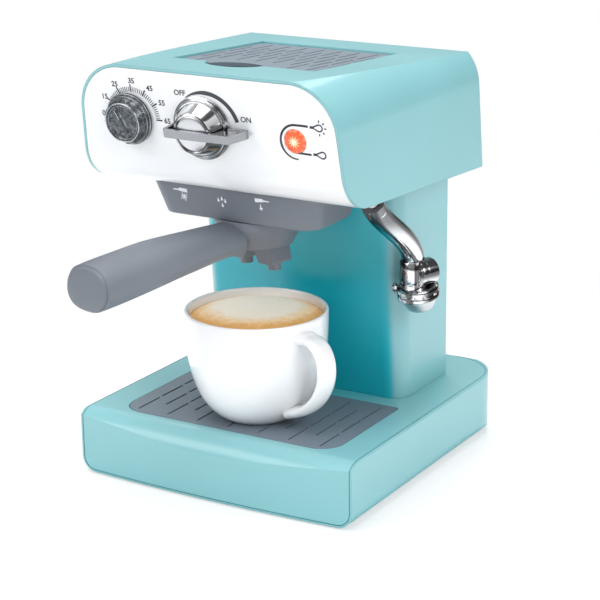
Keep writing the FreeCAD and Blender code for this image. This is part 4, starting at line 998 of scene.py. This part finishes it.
# Power switch: stepped chrome base, bright domed disc and its strap
def make_switch():
    """The switch's flange, cone and front disc. Its strap keeps the shape of the solid."""
    place = panel_matrix(*SWITCH_SPOT, KNOB_LIFT)
    flange = [(2.8, 0.0), (17.2, 0.0), (17.5, 0.4), (17.5, 1.2), (17.1, 1.6), (16.5, 1.7), (16.3, 2.0),
              (16.3, 2.6), (15.9, 3.1), (15.2, 3.3), (2.8, 3.3)]
    cone = [(14.9, 3.1), (14.6, 3.6), (13.8, 5.2), (12.4, 8.2), (11.5, 10.2), (11.0, 10.8), (10.4, 11.0),
            (9.9, 10.9), (9.6, 10.4), (9.5, 9.9), (0.01, 9.9)]
    disc = [(0.01, 9.7), (9.5, 9.7), (9.6, 10.2), (9.3, 10.6), (8.0, 10.9), (5.0, 11.3), (2.0, 11.5),
            (0.01, 11.5)]
    base = lathe("switch_rim", flange, place, BELL)
    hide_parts("switch_flange")
    body = lathe("switch_bell", smooth_profile(cone, 1), place, BELL)
    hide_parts("switch_cone")
    face = lathe("switch_face", smooth_profile(disc, 1), place, SATIN)
    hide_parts("switch_disc")
    bead = ring_shape("switch_bead", 15.7, 3.1, 0.3, place, RIM)
    for piece in (base, body, face, bead):
        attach(piece, "power_switch")


# The base's fine seam: along the front's foot, up its corners, back and round the rear corners
BASE_FRONT = -101
FRONT_BOW = 3.5
BASE_HALF = 89
SEAM_PROUD = 0.02
SEAM_X = 87.6
SEAM_RADIUS = 0.0002


def base_front(x):
    """How far ahead the bowed front face is, and a hair more."""
    return BASE_FRONT + FRONT_BOW * (x / BASE_HALF) ** 2 - SEAM_PROUD


def make_seam():
    """The line's right half, from the middle of the front to the rear, and its mirror image."""
    foot, foot_round, foot_straight = 2.4, 7.6, 80
    edge_round, edge_y, edge_z = 12, -89, 26
    rear_round, rear_x, rear_y, rear_ease = 30.6, 57, 61, 2.2
    ahead = base_front(SEAM_X)
    half = [(x, base_front(x), foot) for x in range(0, foot_straight + 1, 8)]
    for step in range(1, 9):
        angle = math.pi / 2 * step / 8
        x = foot_straight + foot_round * math.sin(angle)
        half.append((x, base_front(x), foot + foot_round - foot_round * math.cos(angle)))
    half += [(SEAM_X, ahead, z) for z in (16, 22, 28, 33, 34.4)]
    start = math.atan2(8.4, ahead - edge_y)
    for step in range(1, 9):
        angle = start + (math.pi / 2 - start) * step / 8
        half.append((SEAM_X, edge_y + edge_round * math.cos(angle), edge_z + edge_round * math.sin(angle)))
    half += [(SEAM_X, y, edge_z + edge_round) for y in range(-80, 62, 10)]
    for step in range(13):
        angle = math.pi / 2 * step / 12
        half.append((rear_x + rear_round * math.cos(angle),
                     rear_y + rear_round * math.sin(angle) - rear_ease * step / 12, 37.98))
    whole = [(-x, y, z) for x, y, z in reversed(half[1:])] + half
    seam = tube("base_seam", [at(*spot) for spot in whole], SEAM_RADIUS, SEAM, 8)
    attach(seam, "machine")


# Webs just under the slotted faces, so that the slots look shallow; the lid leans back by an angle
WEB_THICK = 0.8
LID_TILT = math.atan(9 / 165.5)


def make_webs():
    """Thin dark webs under the grate and the lid, sized from their boxes in the frame."""
    grate_depth, grate_margins = 0.0013, (16, 12)
    lid_depth, lid_margin, lid_middle, lid_share = 0.0011, 6, 0.56, 0.80
    low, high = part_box("drip_grate")
    middle = Vector(((low.x + high.x) / 2, (low.y + high.y) / 2, high.z - grate_depth))
    size = ((high.x - low.x) * 1000 - grate_margins[0], (high.y - low.y) * 1000 - grate_margins[1], WEB_THICK)
    web = small_block("grate_web", size, Matrix.Translation(middle), GREY_DARK)
    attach(web, "grate")
    low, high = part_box("top_lid")
    deep = high.y - low.y
    middle = Vector(((low.x + high.x) / 2, low.y + deep * lid_middle, 0))
    middle.z = high.z - math.tan(LID_TILT) * (middle.y - low.y) - lid_depth
    size = ((high.x - low.x) * 1000 - lid_margin, deep * 1000 * lid_share, WEB_THICK)
    web = small_block("lid_web", size, Matrix.Translation(middle) @ Matrix.Rotation(-LID_TILT, 4, "X"),
                      GREY_DARK)
    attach(web, "lid")


make_camera()
make_world()
make_stage()
make_lights()
paint_nodes()
print_panel()
make_lamp()
print_skirt()
make_dial()
make_switch()
make_wand()
make_handle()
make_seam()
make_webs()
round_nodes()
make_cup()
make_foam()

bpy.context.scene.view_settings.view_transform = "Standard"
